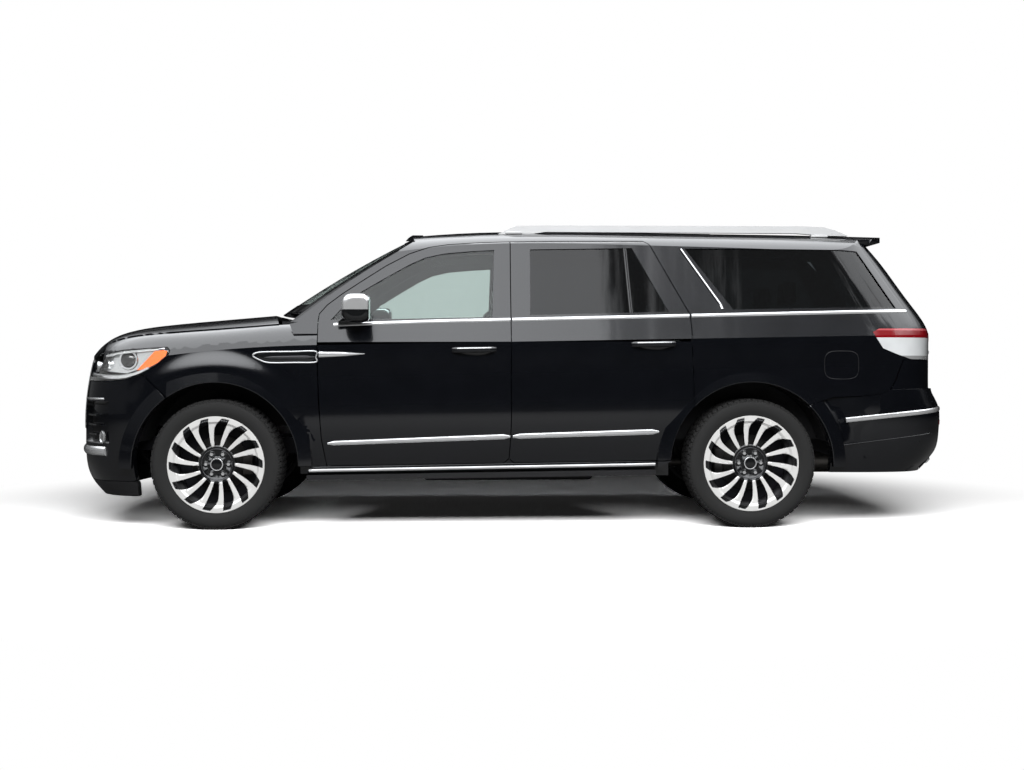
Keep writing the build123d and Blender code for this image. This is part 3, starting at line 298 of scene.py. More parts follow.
# ------------------------------------------------------------------ body form
class BodyForm:
    """The car's skin as plain functions, in metres, so that normals and trim follow it exactly."""

    HALF = 1.007
    TAIL_STATION = 4.0              # where the crease is measured for the width of the ends
    FLARE_LIP, FLARE_RADIUS, FLARE_SLOPE = 1.015, 0.516, 0.016 / 0.076
    POWERS = {"nose": (17.0, 2.65), "tail": (24.0, 3.0)}
    BUMPER_LEVELS = ((0.345, 4.560, -0.026), (0.430, 4.628, -0.012), (0.520, 4.672, -0.003), (0.640, 4.681, 0.001),
                     (0.740, 4.678, 0.001), (0.800, 4.655, 0.0), (0.872, 4.624, 0.0))

    @staticmethod
    def crease(x: np.ndarray) -> np.ndarray:
        """Height of the shoulder crease at a station."""
        ahead = np.maximum(0.0, 0.616 - x)
        return 1.148 + 0.0175 * (x - 0.616) - 0.06 * ahead ** 2

    @staticmethod
    def section(above: np.ndarray, upper: np.ndarray) -> np.ndarray:
        """Half width of the body at a height from the crease.

        Args:
            above: height from the crease.
            upper: true where the point belongs to the leaning part above the crease.

        Returns:
            Distance from the centreline.
        """
        lean = BodyForm.HALF - 0.001 - 0.384 * above + 0.03 * above ** 2
        tuck = np.maximum(0.0, -above - 0.405)
        hollow = 0.004 * np.sin(math.pi * np.clip(-above / 0.405, 0.0, 1.0)) ** 2
        return np.where(upper, lean, BodyForm.HALF - hollow - 0.36 * tuck ** 2)

    @staticmethod
    def nose(z: np.ndarray) -> np.ndarray:
        """Station of the nose at a height."""
        return -0.955 + 2.1 * np.maximum(0.0, 0.42 - z) ** 2 + 0.32 * np.maximum(0.0, z - 0.64) ** 2

    @staticmethod
    def tail(z: np.ndarray) -> np.ndarray:
        """Station of the liftgate's skin at a height."""
        lean = np.maximum(0.0, z - 1.235)
        return 4.606 - 0.69 * lean ** 2 / (lean + 0.045)

    @staticmethod
    def levels(x: np.ndarray, z: np.ndarray, upper: np.ndarray, kind: str) -> tuple[np.ndarray, ...]:
        """Limits of one skin at each height.

        Args:
            x: stations.
            z: heights.
            upper: which points belong above the crease.
            kind: "side" for doors and quarters, "front" and "rear" for the bumpers.

        Returns:
            Half width amidships, and the stations of the nose and the tail.
        """
        wide = BodyForm.section(z - BodyForm.crease(x), upper)
        tail = BodyForm.tail(z)
        if kind == "front":
            wide = BodyForm.section(np.minimum(0.0, z - 1.12), np.zeros_like(upper))
        elif kind == "rear":
            heights, tails, wider = (np.array(column) for column in zip(*BodyForm.BUMPER_LEVELS))
            tail = BodyForm._spline(z, heights, tails)
            wide = BodyForm.HALF + BodyForm._spline(z, heights, wider) - 0.216 * np.maximum(0.0, 0.745 - z) ** 2
        return wide, BodyForm.nose(z), tail

    @staticmethod
    def implicit(x: np.ndarray, y: np.ndarray, z: np.ndarray, upper: np.ndarray, kind: str) -> np.ndarray:
        """Function that is zero on the skin and grows outward.

        Args:
            x: stations.
            y: distances from the centreline.
            z: heights.
            upper: which points belong above the crease.
            kind: which skin, as for levels.

        Returns:
            Its value at each point.
        """
        wide, nose, tail = BodyForm.levels(x, z, upper, kind)
        ahead = x < MID_STATION
        share = np.where(ahead, (MID_STATION - x) / (MID_STATION - nose), (x - MID_STATION) / (tail - MID_STATION))
        power = np.where(ahead, BodyForm.POWERS["nose"][0], BodyForm.POWERS["tail"][0])
        roundness = np.where(ahead, BodyForm.POWERS["nose"][1], BodyForm.POWERS["tail"][1])
        return np.abs(y / wide) ** roundness + np.clip(share, 1e-6, None) ** power - 1.0

    @staticmethod
    def _spline(z: np.ndarray, heights: np.ndarray, values: np.ndarray) -> np.ndarray:
        """Natural cubic spline through a few levels.

        Args:
            z: where it is wanted.
            heights: the levels, rising.
            values: its value at each level.

        Returns:
            Its value at each z.
        """
        count = len(heights)
        step = np.diff(heights)
        matrix, right = np.eye(count), np.zeros(count)
        for i in range(1, count - 1):
            matrix[i, i - 1:i + 2] = step[i - 1], 2.0 * (step[i - 1] + step[i]), step[i]
            right[i] = 6.0 * ((values[i + 1] - values[i]) / step[i] - (values[i] - values[i - 1]) / step[i - 1])
        bend = np.linalg.solve(matrix, right)
        z = np.clip(z, heights[0], heights[-1])
        i = np.clip(np.searchsorted(heights, z) - 1, 0, count - 2)
        a, b = heights[i + 1] - z, z - heights[i]
        return (bend[i] * a ** 3 + bend[i + 1] * b ** 3) / (6.0 * step[i]) \
            + (values[i] / step[i] - bend[i] * step[i] / 6.0) * a \
            + (values[i + 1] / step[i] - bend[i + 1] * step[i] / 6.0) * b

    @staticmethod
    def _limits(kind: str, x: float, z: float) -> list[float]:
        """Limits of one skin at a single station and height, as levels gives them."""
        xs, zs = np.array([x]), np.array([z])
        upper = (zs >= BodyForm.crease(xs)) & (kind == "side")
        return [float(limit[0]) for limit in BodyForm.levels(xs, zs, upper, kind)]

    @staticmethod
    def side_y(x: float, z: float, kind: str = "side") -> float:
        """Half width of the body side, or of a bumper.

        Args:
            x: station.
            z: height.
            kind: which skin, as for levels.

        Returns:
            Distance from the centreline.
        """
        wide, nose, tail = BodyForm._limits(kind, x, z)
        end, reach = ("nose", nose) if x < MID_STATION else ("tail", tail)
        power, roundness = BodyForm.POWERS[end]
        share = (MID_STATION - x) / (MID_STATION - reach)
        return wide * max(0.0, 1.0 - share ** power) ** (1.0 / roundness)

    @staticmethod
    def end_x(kind: str, y: float, z: float) -> float:
        """Station of the nose, the tail or the rear bumper.

        Args:
            kind: which skin, as for levels.
            y: distance from the centreline.
            z: height.

        Returns:
            Its station.
        """
        wide, nose, tail = BodyForm._limits(kind, BodyForm.TAIL_STATION, z)
        end, reach = ("nose", nose) if kind == "front" else ("tail", tail)
        power, roundness = BodyForm.POWERS[end]
        share = min(0.9999, abs(y) / wide)
        return MID_STATION + (reach - MID_STATION) * (1.0 - share ** roundness) ** (1.0 / power)

    @staticmethod
    def roof(x: np.ndarray, y: np.ndarray) -> np.ndarray:
        """Height of the roof skin."""
        crown = np.where(x < 1.9, 0.07 * (1.9 - x) ** 2, 0.0045 * (x - 1.9) ** 2)
        return 1.914 - crown - 0.055 * np.abs(y) ** 2 - 0.611 * np.abs(y) ** 8

    @staticmethod
    def hood_front(y: np.ndarray) -> np.ndarray:
        """Station of the hood's leading edge."""
        share = np.minimum(0.999, np.abs(y) / BodyForm.HALF)
        return MID_STATION - (MID_STATION + 0.905) * (1.0 - share ** 2.65) ** (1.0 / 17.0)

    @staticmethod
    def hood(x: np.ndarray, y: np.ndarray) -> np.ndarray:
        """Height of the hood skin."""
        back = x - BodyForm.hood_front(y)
        side = (np.minimum(np.abs(y), 0.9) / 0.85) ** 3 - 0.2
        return 1.242 + 0.086 * back - 0.172 * np.exp(-back / 0.114) - 0.06 * (1.0 - np.exp(-back / 0.25)) * side


class Guide(Enum):
    """Named smooth surfaces that a panel's normals can follow."""

    SIDE = "side"
    FRONT = "front"
    REAR = "rear"
    ROOF = "roof"
    HOOD = "hood"
    FLARE = "flare"


def guide_field(guide: Guide, points: np.ndarray, upper: np.ndarray) -> tuple[np.ndarray, np.ndarray]:
    """Distance to a guide surface and its outward normal.

    Args:
        guide: which surface.
        points: n by 3 array in the frame.
        upper: which points belong above the crease.

    Returns:
        Signed distances, and unit normals as an n by 3 array.
    """
    def level(p: np.ndarray) -> np.ndarray:
        """Value at each point of a function that is zero on the surface and grows outward."""
        x, y, z = p[:, 0] + MID_STATION, p[:, 1], p[:, 2]
        if guide is Guide.ROOF:
            return z - BodyForm.roof(x, y)
        if guide is Guide.HOOD:
            return z - BodyForm.hood(x, y)
        if guide is Guide.FLARE:
            radius = np.hypot(x - np.where(x < WHEELBASE / 2, 0.0, WHEELBASE), z - AXLE_Z)
            return np.abs(y) - BodyForm.FLARE_LIP + BodyForm.FLARE_SLOPE * (radius - BodyForm.FLARE_RADIUS)
        return BodyForm.implicit(x, y, z, upper, guide.value)

    reach = 1e-4
    gradient = np.empty_like(points)
    for axis in range(3):
        shift = np.zeros(3)
        shift[axis] = reach
        gradient[:, axis] = (level(points + shift) - level(points - shift)) / (2.0 * reach)
    size = np.maximum(1e-9, np.linalg.norm(gradient, axis=1))
    return level(points) / size, gradient / size[:, None]


# ------------------------------------------------------------------ mesh helpers
def new_object(name: str, mesh: bpy.types.Mesh) -> Object:
    """Put a mesh in the scene as an object at the origin."""
    obj = bpy.data.objects.new(name, mesh)
    bpy.context.scene.collection.objects.link(obj)
    return obj


def freed(name: str, shell: bmesh.types.BMesh) -> Object:
    """Turn a worked shell into an object, and free the shell.

    Args:
        name: name of the object.
        shell: the shell.

    Returns:
        The new object.
    """
    mesh = bpy.data.meshes.new(name)
    shell.to_mesh(mesh)
    shell.free()
    return new_object(name, mesh)


def welded(mesh: bpy.types.Mesh, reach: float = 1e-5) -> bmesh.types.BMesh:
    """Copy of a mesh to work on, with corners that coincide made one.

    Args:
        mesh: the mesh, which is left as it is.
        reach: how far apart two corners may lie.

    Returns:
        The copy.
    """
    shell = bmesh.new()
    shell.from_mesh(mesh)
    bmesh.ops.remove_doubles(shell, verts=shell.verts, dist=reach)
    return shell


def slice_all(shell: bmesh.types.BMesh, axis: int, spot: float) -> None:
    """Cut every facet of a shell at a place on one axis."""
    normal = Vector([float(i == axis) for i in range(3)])
    bmesh.ops.bisect_plane(shell, geom=list(shell.verts) + list(shell.edges) + list(shell.faces),
                           plane_co=normal * spot, plane_no=normal)


def shaded(obj: Object, materials: Sequence[bpy.types.Material], angle: float) -> Object:
    """Dress an object and shade it smoothly.

    Args:
        obj: the object.
        materials: its materials, by facet number.
        angle: edges sharper than this stay sharp, in radians.

    Returns:
        The same object.
    """
    mesh = obj.data
    for material in materials:
        mesh.materials.append(material)
    mesh.polygons.foreach_set("use_smooth", [True] * len(mesh.polygons))
    mesh.set_sharp_from_angle(angle=angle)
    return obj


def column(items: bpy.types.bpy_prop_collection, name: str, wide: int = 0) -> np.ndarray:
    """One property of many mesh elements.

    Args:
        items: the elements.
        name: the property.
        wide: 3 for a vector, 0 for a whole number.

    Returns:
        An n by 3 array, or n whole numbers.
    """
    values = np.zeros(len(items) * max(1, wide), float if wide else int)
    items.foreach_get(name, values)
    return values.reshape(-1, wide) if wide else values


def mesh_piece(name: str, points: Sequence[Point], faces: Sequence[Sequence[int]], finish: Finish,
               smooth_angle: float = 0.6) -> Object:
    """Closed mesh from points and faces, its faces turned outward.

    Args:
        name: name of the piece.
        points: corners in the frame.
        faces: corner numbers of each face.
        finish: what it is made of.
        smooth_angle: edges sharper than this stay sharp, in radians.

    Returns:
        The new object.
    """
    rough = bpy.data.meshes.new("rough")
    rough.from_pydata([tuple(p) for p in points], [], [tuple(f) for f in faces])
    shell = welded(rough, 1e-6)
    bpy.data.meshes.remove(rough)
    bmesh.ops.recalc_face_normals(shell, faces=shell.faces)
    return shaded(freed(name, shell), [finish.material()], smooth_angle)


def settle(obj: Object, body: str, finish: Finish) -> Object:
    """Ride the piece on its body and report it.

    Args:
        obj: the piece.
        body: the body that it moves with.
        finish: what most of it is made of; not used.

    Returns:
        The same piece.
    """
    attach(obj, body)
    LOG.info("piece %s rides on %s, %d faces", obj.name, body, len(obj.data.polygons))
    return obj


def apply_modifiers(obj: Object) -> Object:
    """Turn the object's modifiers into plain mesh."""
    graph = bpy.context.evaluated_depsgraph_get()
    mesh = bpy.data.meshes.new_from_object(obj.evaluated_get(graph))
    obj.modifiers.clear()
    obj.data = mesh
    return obj


def join(name: str, pieces: Sequence[Object]) -> Object:
    """Make one object of several, each facet keeping its material.

    Args:
        name: name of the joined piece.
        pieces: the objects, which are used up.

    Returns:
        The new object.
    """
    target = bmesh.new()
    materials: list[bpy.types.Material] = []
    for piece in pieces:
        remap = []
        for material in piece.data.materials:
            if material not in materials:
                materials.append(material)
            remap.append(materials.index(material))
        first = len(target.faces)
        target.from_mesh(piece.data)
        target.faces.ensure_lookup_table()
        for face in target.faces[first:]:
            face.material_index = remap[face.material_index]
        bpy.data.objects.remove(piece)
    return shaded(freed(name, target), materials, 0.6)


def rounded_box(name: str, low: Point, high: Point, radius: float, finish: Finish, segments: int = 3) -> Object:
    """Box with rounded edges.

    Args:
        name: name of the piece.
        low: its corner with the least of each coordinate.
        high: its opposite corner.
        radius: radius of its edges, made smaller where the box is thin.
        finish: what it is made of.
        segments: facets across each rounded edge.

    Returns:
        The new object.
    """
    shell = bmesh.new()
    bmesh.ops.create_cube(shell, size=1.0)
    size = [b - a for a, b in zip(low, high)]
    middle = [(a + b) / 2 for a, b in zip(low, high)]
    for vertex in shell.verts:
        vertex.co = Vector([vertex.co[i] * size[i] + middle[i] for i in range(3)])
    bmesh.ops.bevel(shell, geom=list(shell.edges), offset=min(radius, min(size) * 0.49), segments=segments,
                    profile=0.5, affect="EDGES")
    return shaded(freed(name, shell), [finish.material()], 0.9)


def ring_faces(rows: int, ring: int, closed: bool = False) -> list[tuple[int, ...]]:
    """Facets that join rows of points, each row a ring.

    Args:
        rows: number of rings.
        ring: points in each.
        closed: true where the last ring joins the first, false for an end face on each.

    Returns:
        Corner numbers of each facet.
    """
    faces: list[tuple[int, ...]] = []
    for i in range(rows if closed else rows - 1):
        here, there = i * ring, (i + 1) % rows * ring
        for k in range(ring):
            n = (k + 1) % ring
            faces.append((here + k, here + n, there + n, there + k))
    if not closed:
        faces += [tuple(range(ring)), tuple(range((rows - 1) * ring, rows * ring))]
    return faces


def tube(name: str, path: Sequence[Point], radius: float, finish: Finish, sides: int = 12,
         squash: float = 1.0) -> Object:
    """Closed round bar along a path.

    Args:
        name: name of the piece.
        path: points along its middle.
        radius: its radius.
        finish: what it is made of.
        sides: corners of its section.
        squash: height of the section as a share of its width.

    Returns:
        The new object.
    """
    points: list[Point] = []
    spine = [Vector(p) for p in path]
    for i, here in enumerate(spine):
        ahead = spine[min(i + 1, len(spine) - 1)] - spine[max(i - 1, 0)]
        ahead.normalize()
        up = Vector((0, 0, 1)) if abs(ahead.z) < 0.95 else Vector((1, 0, 0))
        across = ahead.cross(up).normalized()
        rise = across.cross(ahead).normalized()
        for k in range(sides):
            a = 2 * math.pi * k / sides
            points.append(tuple(here + across * (radius * math.cos(a)) + rise * (radius * squash * math.sin(a))))
    return mesh_piece(name, points, ring_faces(len(spine), sides), finish, 0.9)


def lathe(name: str, profile: Sequence[Pair], finish: Finish, segments: int = 96) -> Object:
    """Ring turned about the y axis, at the origin.

    Args:
        name: name of the piece.
        profile: its closed section, as (radius, y) points.
        finish: what it is made of.
        segments: facets round the ring.

    Returns:
        The new object.
    """
    turns = [2 * math.pi * s / segments for s in range(segments)]
    points = [(r * math.cos(a), y, r * math.sin(a)) for a in turns for r, y in profile]
    return mesh_piece(name, points, ring_faces(segments, len(profile), True), finish, 0.7)


def placed(obj: Object, matrix: Matrix) -> Object:
    """Move the piece's mesh, leaving its object at the origin."""
    obj.data.transform(matrix)
    obj.data.update()
    return obj


def between(table: Sequence[Pair], x: float) -> float:
    """Value of a smooth line through a table.

    Args:
        table: rows of (x, value), rising in x.
        x: where it is wanted.

    Returns:
        Its value there.
    """
    xs = [row[0] for row in table]
    i = max(0, min(len(table) - 2, int(np.searchsorted(xs, x)) - 1))
    (x0, v0), (x1, v1) = table[i], table[i + 1]
    before = table[max(0, i - 1)]
    after = table[min(len(table) - 1, i + 2)]
    m0 = (v1 - before[1]) / (x1 - before[0])
    m1 = (after[1] - v0) / (after[0] - x0)
    t, h = (x - x0) / (x1 - x0), x1 - x0
    return (2 * t ** 3 - 3 * t ** 2 + 1) * v0 + (t ** 3 - 2 * t ** 2 + t) * h * m0 \
        + (3 * t ** 2 - 2 * t ** 3) * v1 + (t ** 3 - t ** 2) * h * m1


def closed_curve(corners: Sequence[Pair], steps: int) -> list[Pair]:
    """Smooth closed line through corners, by a Catmull-Rom rule.

    Args:
        corners: the corners in order.
        steps: points from each corner to the next.

    Returns:
        The points of the line.
    """
    line = []
    count = len(corners)
    for i in range(count):
        p0, p1, p2, p3 = (np.array(corners[(i + k) % count]) for k in (-1, 0, 1, 2))
        for t in np.arange(steps) / steps:
            spot = 0.5 * (2 * p1 + (p2 - p0) * t + (2 * p0 - 5 * p1 + 4 * p2 - p3) * t ** 2
                          + (3 * p1 - p0 - 3 * p2 + p3) * t ** 3)
            line.append((float(spot[0]), float(spot[1])))
    return line


def disc(x: float, z: float, radius: float) -> list[Pair]:
    """Outline of a small round on the body."""
    return [(x + radius * math.cos(math.pi * k / 12), z + radius * math.sin(math.pi * k / 12)) for k in range(24)]


def on_side(side: int, kind: str = "side") -> Place:
    """Place on the body side from station, height and depth behind the skin."""
    return lambda x, z, depth: (station(x), side * (BodyForm.side_y(x, z, kind) - depth), z)


def on_roof(x: float, y: float, depth: float) -> Point:
    """Place on the roof from station, y and depth below the skin."""
    return station(x), y, float(BodyForm.roof(np.float64(x), np.float64(y))) - depth


def on_end(kind: str) -> Place:
    """Place on the nose or tail from y, height and depth behind the skin."""
    inward = 1.0 if kind == "front" else -1.0
    return lambda y, z, depth: (station(BodyForm.end_x(kind, y, z)) + inward * depth, y, z)


def patch(name: str, outline: Sequence[Pair], place: Place, inset: float, thick: float, finish: Finish,
          cuts: int = 8) -> Object:
    """Plate that bends with the body, bounded by an outline drawn on it.

    Args:
        name: name of the piece.
        outline: its corners, in order.
        place: gives the point at two outline coordinates and a depth.
        inset: how far its face lies behind the skin; negative stands proud.
        thick: its thickness.
        finish: what it is made of.
        cuts: how many times it is divided each way so that it bends.

    Returns:
        The new object.
    """
    flat = bmesh.new()
    flat.faces.new([flat.verts.new((x, 0.0, z)) for x, z in outline])
    for axis, values in zip((0, 2), zip(*outline)):
        for i in range(1, cuts):
            slice_all(flat, axis, min(values) + (max(values) - min(values)) * i / cuts)
    flat.verts.index_update()
    count = len(flat.verts)
    points = [place(v.co.x, v.co.z, inset + depth) for depth in (0.0, thick) for v in flat.verts]
    faces = [tuple(v.index for v in f.verts) for f in flat.faces]
    faces += [tuple(v.index + count for v in reversed(f.verts)) for f in flat.faces]
    for edge in flat.edges:
        if len(edge.link_faces) == 1:
            a, b = (v.index for v in edge.verts)
            faces.append((a, b, b + count, a + count))
    flat.free()
    return mesh_piece(name, points, faces, finish)


# ------------------------------------------------------------------ painted panels and glass
@dataclass
class SmoothPanels:
    """CAD panels copied, cut finer and given the normals of the smooth body behind them."""

    step_x: float = 0.060
    step_z: float = 0.040
    reach: float = 0.005
    glass_reach: float = 0.018
    alignment: float = 0.90
    scoop: tuple[float, float, float, float] = (0.664, 0.046, 0.46, 0.80)
    finer: dict[str, float] = field(default_factory=lambda: {"front_fenders": 0.5})
    skins: tuple[tuple[str, str, tuple[Guide, ...], Finish], ...] = (
        ("hood", "hood", (Guide.HOOD,), PAINT),
        ("roof_panel", "root", (Guide.ROOF,), PAINT),
        ("front_fenders", "root", (Guide.FLARE, Guide.SIDE), PAINT),
        ("front_bumper", "root", (Guide.FLARE, Guide.FRONT), PAINT),
        ("front_valance", "root", (Guide.FRONT,), MOULDED),
        ("rear_bumper", "root", (Guide.FLARE, Guide.REAR, Guide.SIDE), PAINT),
        ("body_sides", "root", (Guide.FLARE, Guide.ROOF, Guide.SIDE), PAINT),
        ("liftgate", "liftgate", (Guide.ROOF, Guide.SIDE), PAINT),
        ("liftgate_glass", "liftgate", (Guide.SIDE,), DARK_GLASS),
        ("quarter_windows", "root", (Guide.SIDE,), DARK_GLASS),
        ("windscreen", "root", (), FRONT_GLASS),
        ("front_door_", "front_door_", (Guide.SIDE,), PAINT),
        ("rear_door_", "rear_door_", (Guide.FLARE, Guide.SIDE), PAINT),
        ("front_door_glass_", "front_door_", (Guide.SIDE,), FRONT_GLASS),
        ("rear_door_glass_", "rear_door_", (Guide.SIDE,), DARK_GLASS))

    def build(self, nodes: dict[str, Object]) -> None:
        """Replace each listed node, and each side's own, by its smooth copy."""
        for stem, carrier, guides, finish in self.skins:
            for word in ("left", "right") if stem.endswith("_") else ("",):
                node = stem + word
                shell = welded(nodes[node].data)
                bmesh.ops.dissolve_degenerate(shell, dist=1e-6, edges=shell.edges)
                self.classify(shell, guides, self.glass_reach if finish.transmission else self.reach)
                self._cut(shell, *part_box(node), self.finer.get(node, 1.0))
                obj = freed(node + "_skin", shell)
                obj.data.materials.append(finish.material())
                self.smooth(obj.data, guides)
                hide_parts(node)
                settle(obj, carrier + word, finish)

    def classify(self, shell: bmesh.types.BMesh, guides: Sequence[Guide], reach: float) -> None:
        """Note on each facet which guide surface all its corners lie on, before anything is cut.

        Args:
            shell: the panel.
            guides: the surfaces that it may lie on.
            reach: how far a corner may lie from its surface.
        """
        shell.normal_update()
        layer = shell.faces.layers.int.new("guide")
        faces = list(shell.faces)
        normals = np.array([face.normal[:] for face in faces])
        counts = np.array([len(face.verts) for face in faces])
        points = np.array([vertex.co[:] for face in faces for vertex in face.verts])
        starts = np.concatenate(([0], np.cumsum(counts)[:-1]))
        above = points[:, 2] - BodyForm.crease(points[:, 0] + MID_STATION)
        upper = np.add.reduceat(above, starts) / counts > 0.0
        misses = [np.full(len(faces), reach)]
        for guide in guides:
            away, facing = guide_field(guide, points, np.repeat(upper, counts))
            furthest = np.maximum.reduceat(np.abs(away), starts)
            turned = np.abs(np.einsum("ij,ij->i", facing[starts], normals))
            misses.append(np.where(turned > self.alignment, furthest, np.inf))
        chosen = np.argmin(np.array(misses), axis=0)
        for face, number, high in zip(faces, chosen, upper):
            face[layer] = int(number) * 2 + int(high)

    def _cut(self, shell: bmesh.types.BMesh, low: Vector, high: Vector, share: float) -> None:
        """Cut a panel's noted facets on a grid, so that normals can follow the guides inside each.

        Args:
            shell: the panel.
            low: the least corner of its box.
            high: the greatest corner.
            share: step of the grid, as a share of the usual one.
        """
        layer = shell.faces.layers.int["guide"]
        for axis, step in ((0, self.step_x * share), (2, self.step_z * share)):
            normal = Vector((1.0, 0.0, 0.0)) if axis == 0 else Vector((0.0, 0.0, 1.0))
            for i in range(1, int((high[axis] - low[axis]) / step) + 1):
                spot = normal * (low[axis] + step * i)
                faces = [face for face in shell.faces if face[layer] > 1]
                edges = {edge for face in faces for edge in face.edges}
                verts = {vertex for face in faces for vertex in face.verts}
                bmesh.ops.bisect_plane(shell, geom=faces + list(edges) + list(verts), plane_co=spot,
                                       plane_no=normal, dist=1e-6)
        bmesh.ops.triangulate(shell, faces=[face for face in shell.faces if len(face.verts) > 4])

    def smooth(self, mesh: bpy.types.Mesh, guides: Sequence[Guide]) -> None:
        """Set corner normals from the guide surface noted on each face.

        Args:
            mesh: the panel's mesh.
            guides: the surfaces in the order in which they were noted.
        """
        mesh.polygons.foreach_set("use_smooth", [True] * len(mesh.polygons))
        mesh.set_sharp_from_angle(angle=0.55)
        corners = column(mesh.corner_normals, "vector", 3)
        normals = column(mesh.polygons, "normal", 3)
        counts = column(mesh.polygons, "loop_total")
        points = column(mesh.vertices, "co", 3)[column(mesh.loops, "vertex_index")]
        noted = column(mesh.attributes["guide"].data, "value")
        number, upper = noted // 2, np.repeat(noted % 2 == 1, counts)
        for index, guide in enumerate(guides):
            chosen = np.repeat(number == index + 1, counts)
            if not chosen.any():
                continue
            facing = guide_field(guide, points[chosen], upper[chosen])[1]
            if guide in (Guide.SIDE, Guide.FRONT):
                facing = self._scooped(facing, points[chosen], upper[chosen])
            along = np.einsum("ij,ij->i", facing, np.repeat(normals, counts, axis=0)[chosen])
            corners[chosen] = facing * np.sign(along)[:, None]
        mesh.normals_split_custom_set([tuple(row) for row in corners])
        mesh.attributes.remove(mesh.attributes["guide"])

    def _scooped(self, facing: np.ndarray, points: np.ndarray, upper: np.ndarray) -> np.ndarray:
        """Tip the normals upward in the shallow hollow that runs out over the front wheel.

        Args:
            facing: the normals.
            points: where they stand.
            upper: which of them belong above the crease.

        Returns:
            The tipped normals.
        """
        x, z = points[:, 0] + MID_STATION, points[:, 2]
        radius, turn = np.hypot(x, z - AXLE_Z), np.arctan2(x, z - AXLE_Z)
        middle, width, spread, depth = self.scoop
        share = depth * np.exp(-((radius - middle) / width) ** 2 - (turn / spread) ** 2) * ~upper
        tipped = facing + share[:, None] * np.array([0.0, 0.0, 1.0])
        return tipped / np.linalg.norm(tipped, axis=1)[:, None]


# ------------------------------------------------------------------ bright and black trim on the body sides
@dataclass(frozen=True)
class Strip:
    """A moulding that follows the body side between two lines.

    top and foot are tables of (station, height); start and end are the stations it covers.
    """

    name: str
    body: str
    finish: Finish
    start: float
    end: float
    top: Line
    foot: Line
    proud: float = 0.006
    taper: float = 0.0
    pitch: float = 0.04

    def build(self, side: int, word: str) -> Object:
        """Make the strip on one side of the car.

        Args:
            side: LEFT or RIGHT.
            word: the side's name, used in the piece's name.

        Returns:
            The new piece, riding on its body.
        """
        bands = 8
        count = max(3, int((self.end - self.start) / self.pitch) + 1)
        points: list[Point] = []
        for i in range(count):
            x = self.start + (self.end - self.start) * i / (count - 1)
            low, high = between(self.foot, x), between(self.top, x)
            ends = min(1.0, (x - self.start) / self.taper, (self.end - x) / self.taper) if self.taper else 1.0
            ends = max(0.05, ends)
            middle, half = (low + high) / 2, (high - low) / 2 * (0.35 + 0.65 * ends)
            for k in range(bands + 1):
                u = 2 * k / bands - 1
                z = middle + half * u
                y = BodyForm.side_y(x, z) + self.proud * (0.45 + 0.55 * ends) * (1 - abs(u) ** 3.2) + 0.0002
                points.append((station(x), side * y, z))
            for z in (middle + half, middle - half):
                points.append((station(x), side * (BodyForm.side_y(x, z) - 0.002), z))
        obj = mesh_piece(self.name + "_" + word, points, ring_faces(count, bands + 3), self.finish, 0.8)
        return settle(obj, self.body if self.body == "root" else self.body + "_" + word, self.finish)


BELT_TOP = ((0.725, 1.286), (1.344, 1.308), (1.823, 1.319), (2.557, 1.336), (3.142, 1.350), (4.253, 1.376),
            (4.358, 1.379))
DOOR_TOP = ((0.688, 0.552), (1.829, 0.595), (2.765, 0.625))
DOOR_FOOT = ((0.697, 0.521), (1.829, 0.560), (2.744, 0.587))
ROCKER_TOP = ((0.511, 0.379), (2.512, 0.410), (2.850, 0.417))


def shifted(line: Line, along: float, drop: float = 0.0) -> Line:
    """The same line, moved rearward and down."""
    return tuple((x + along, z - drop) for x, z in line)


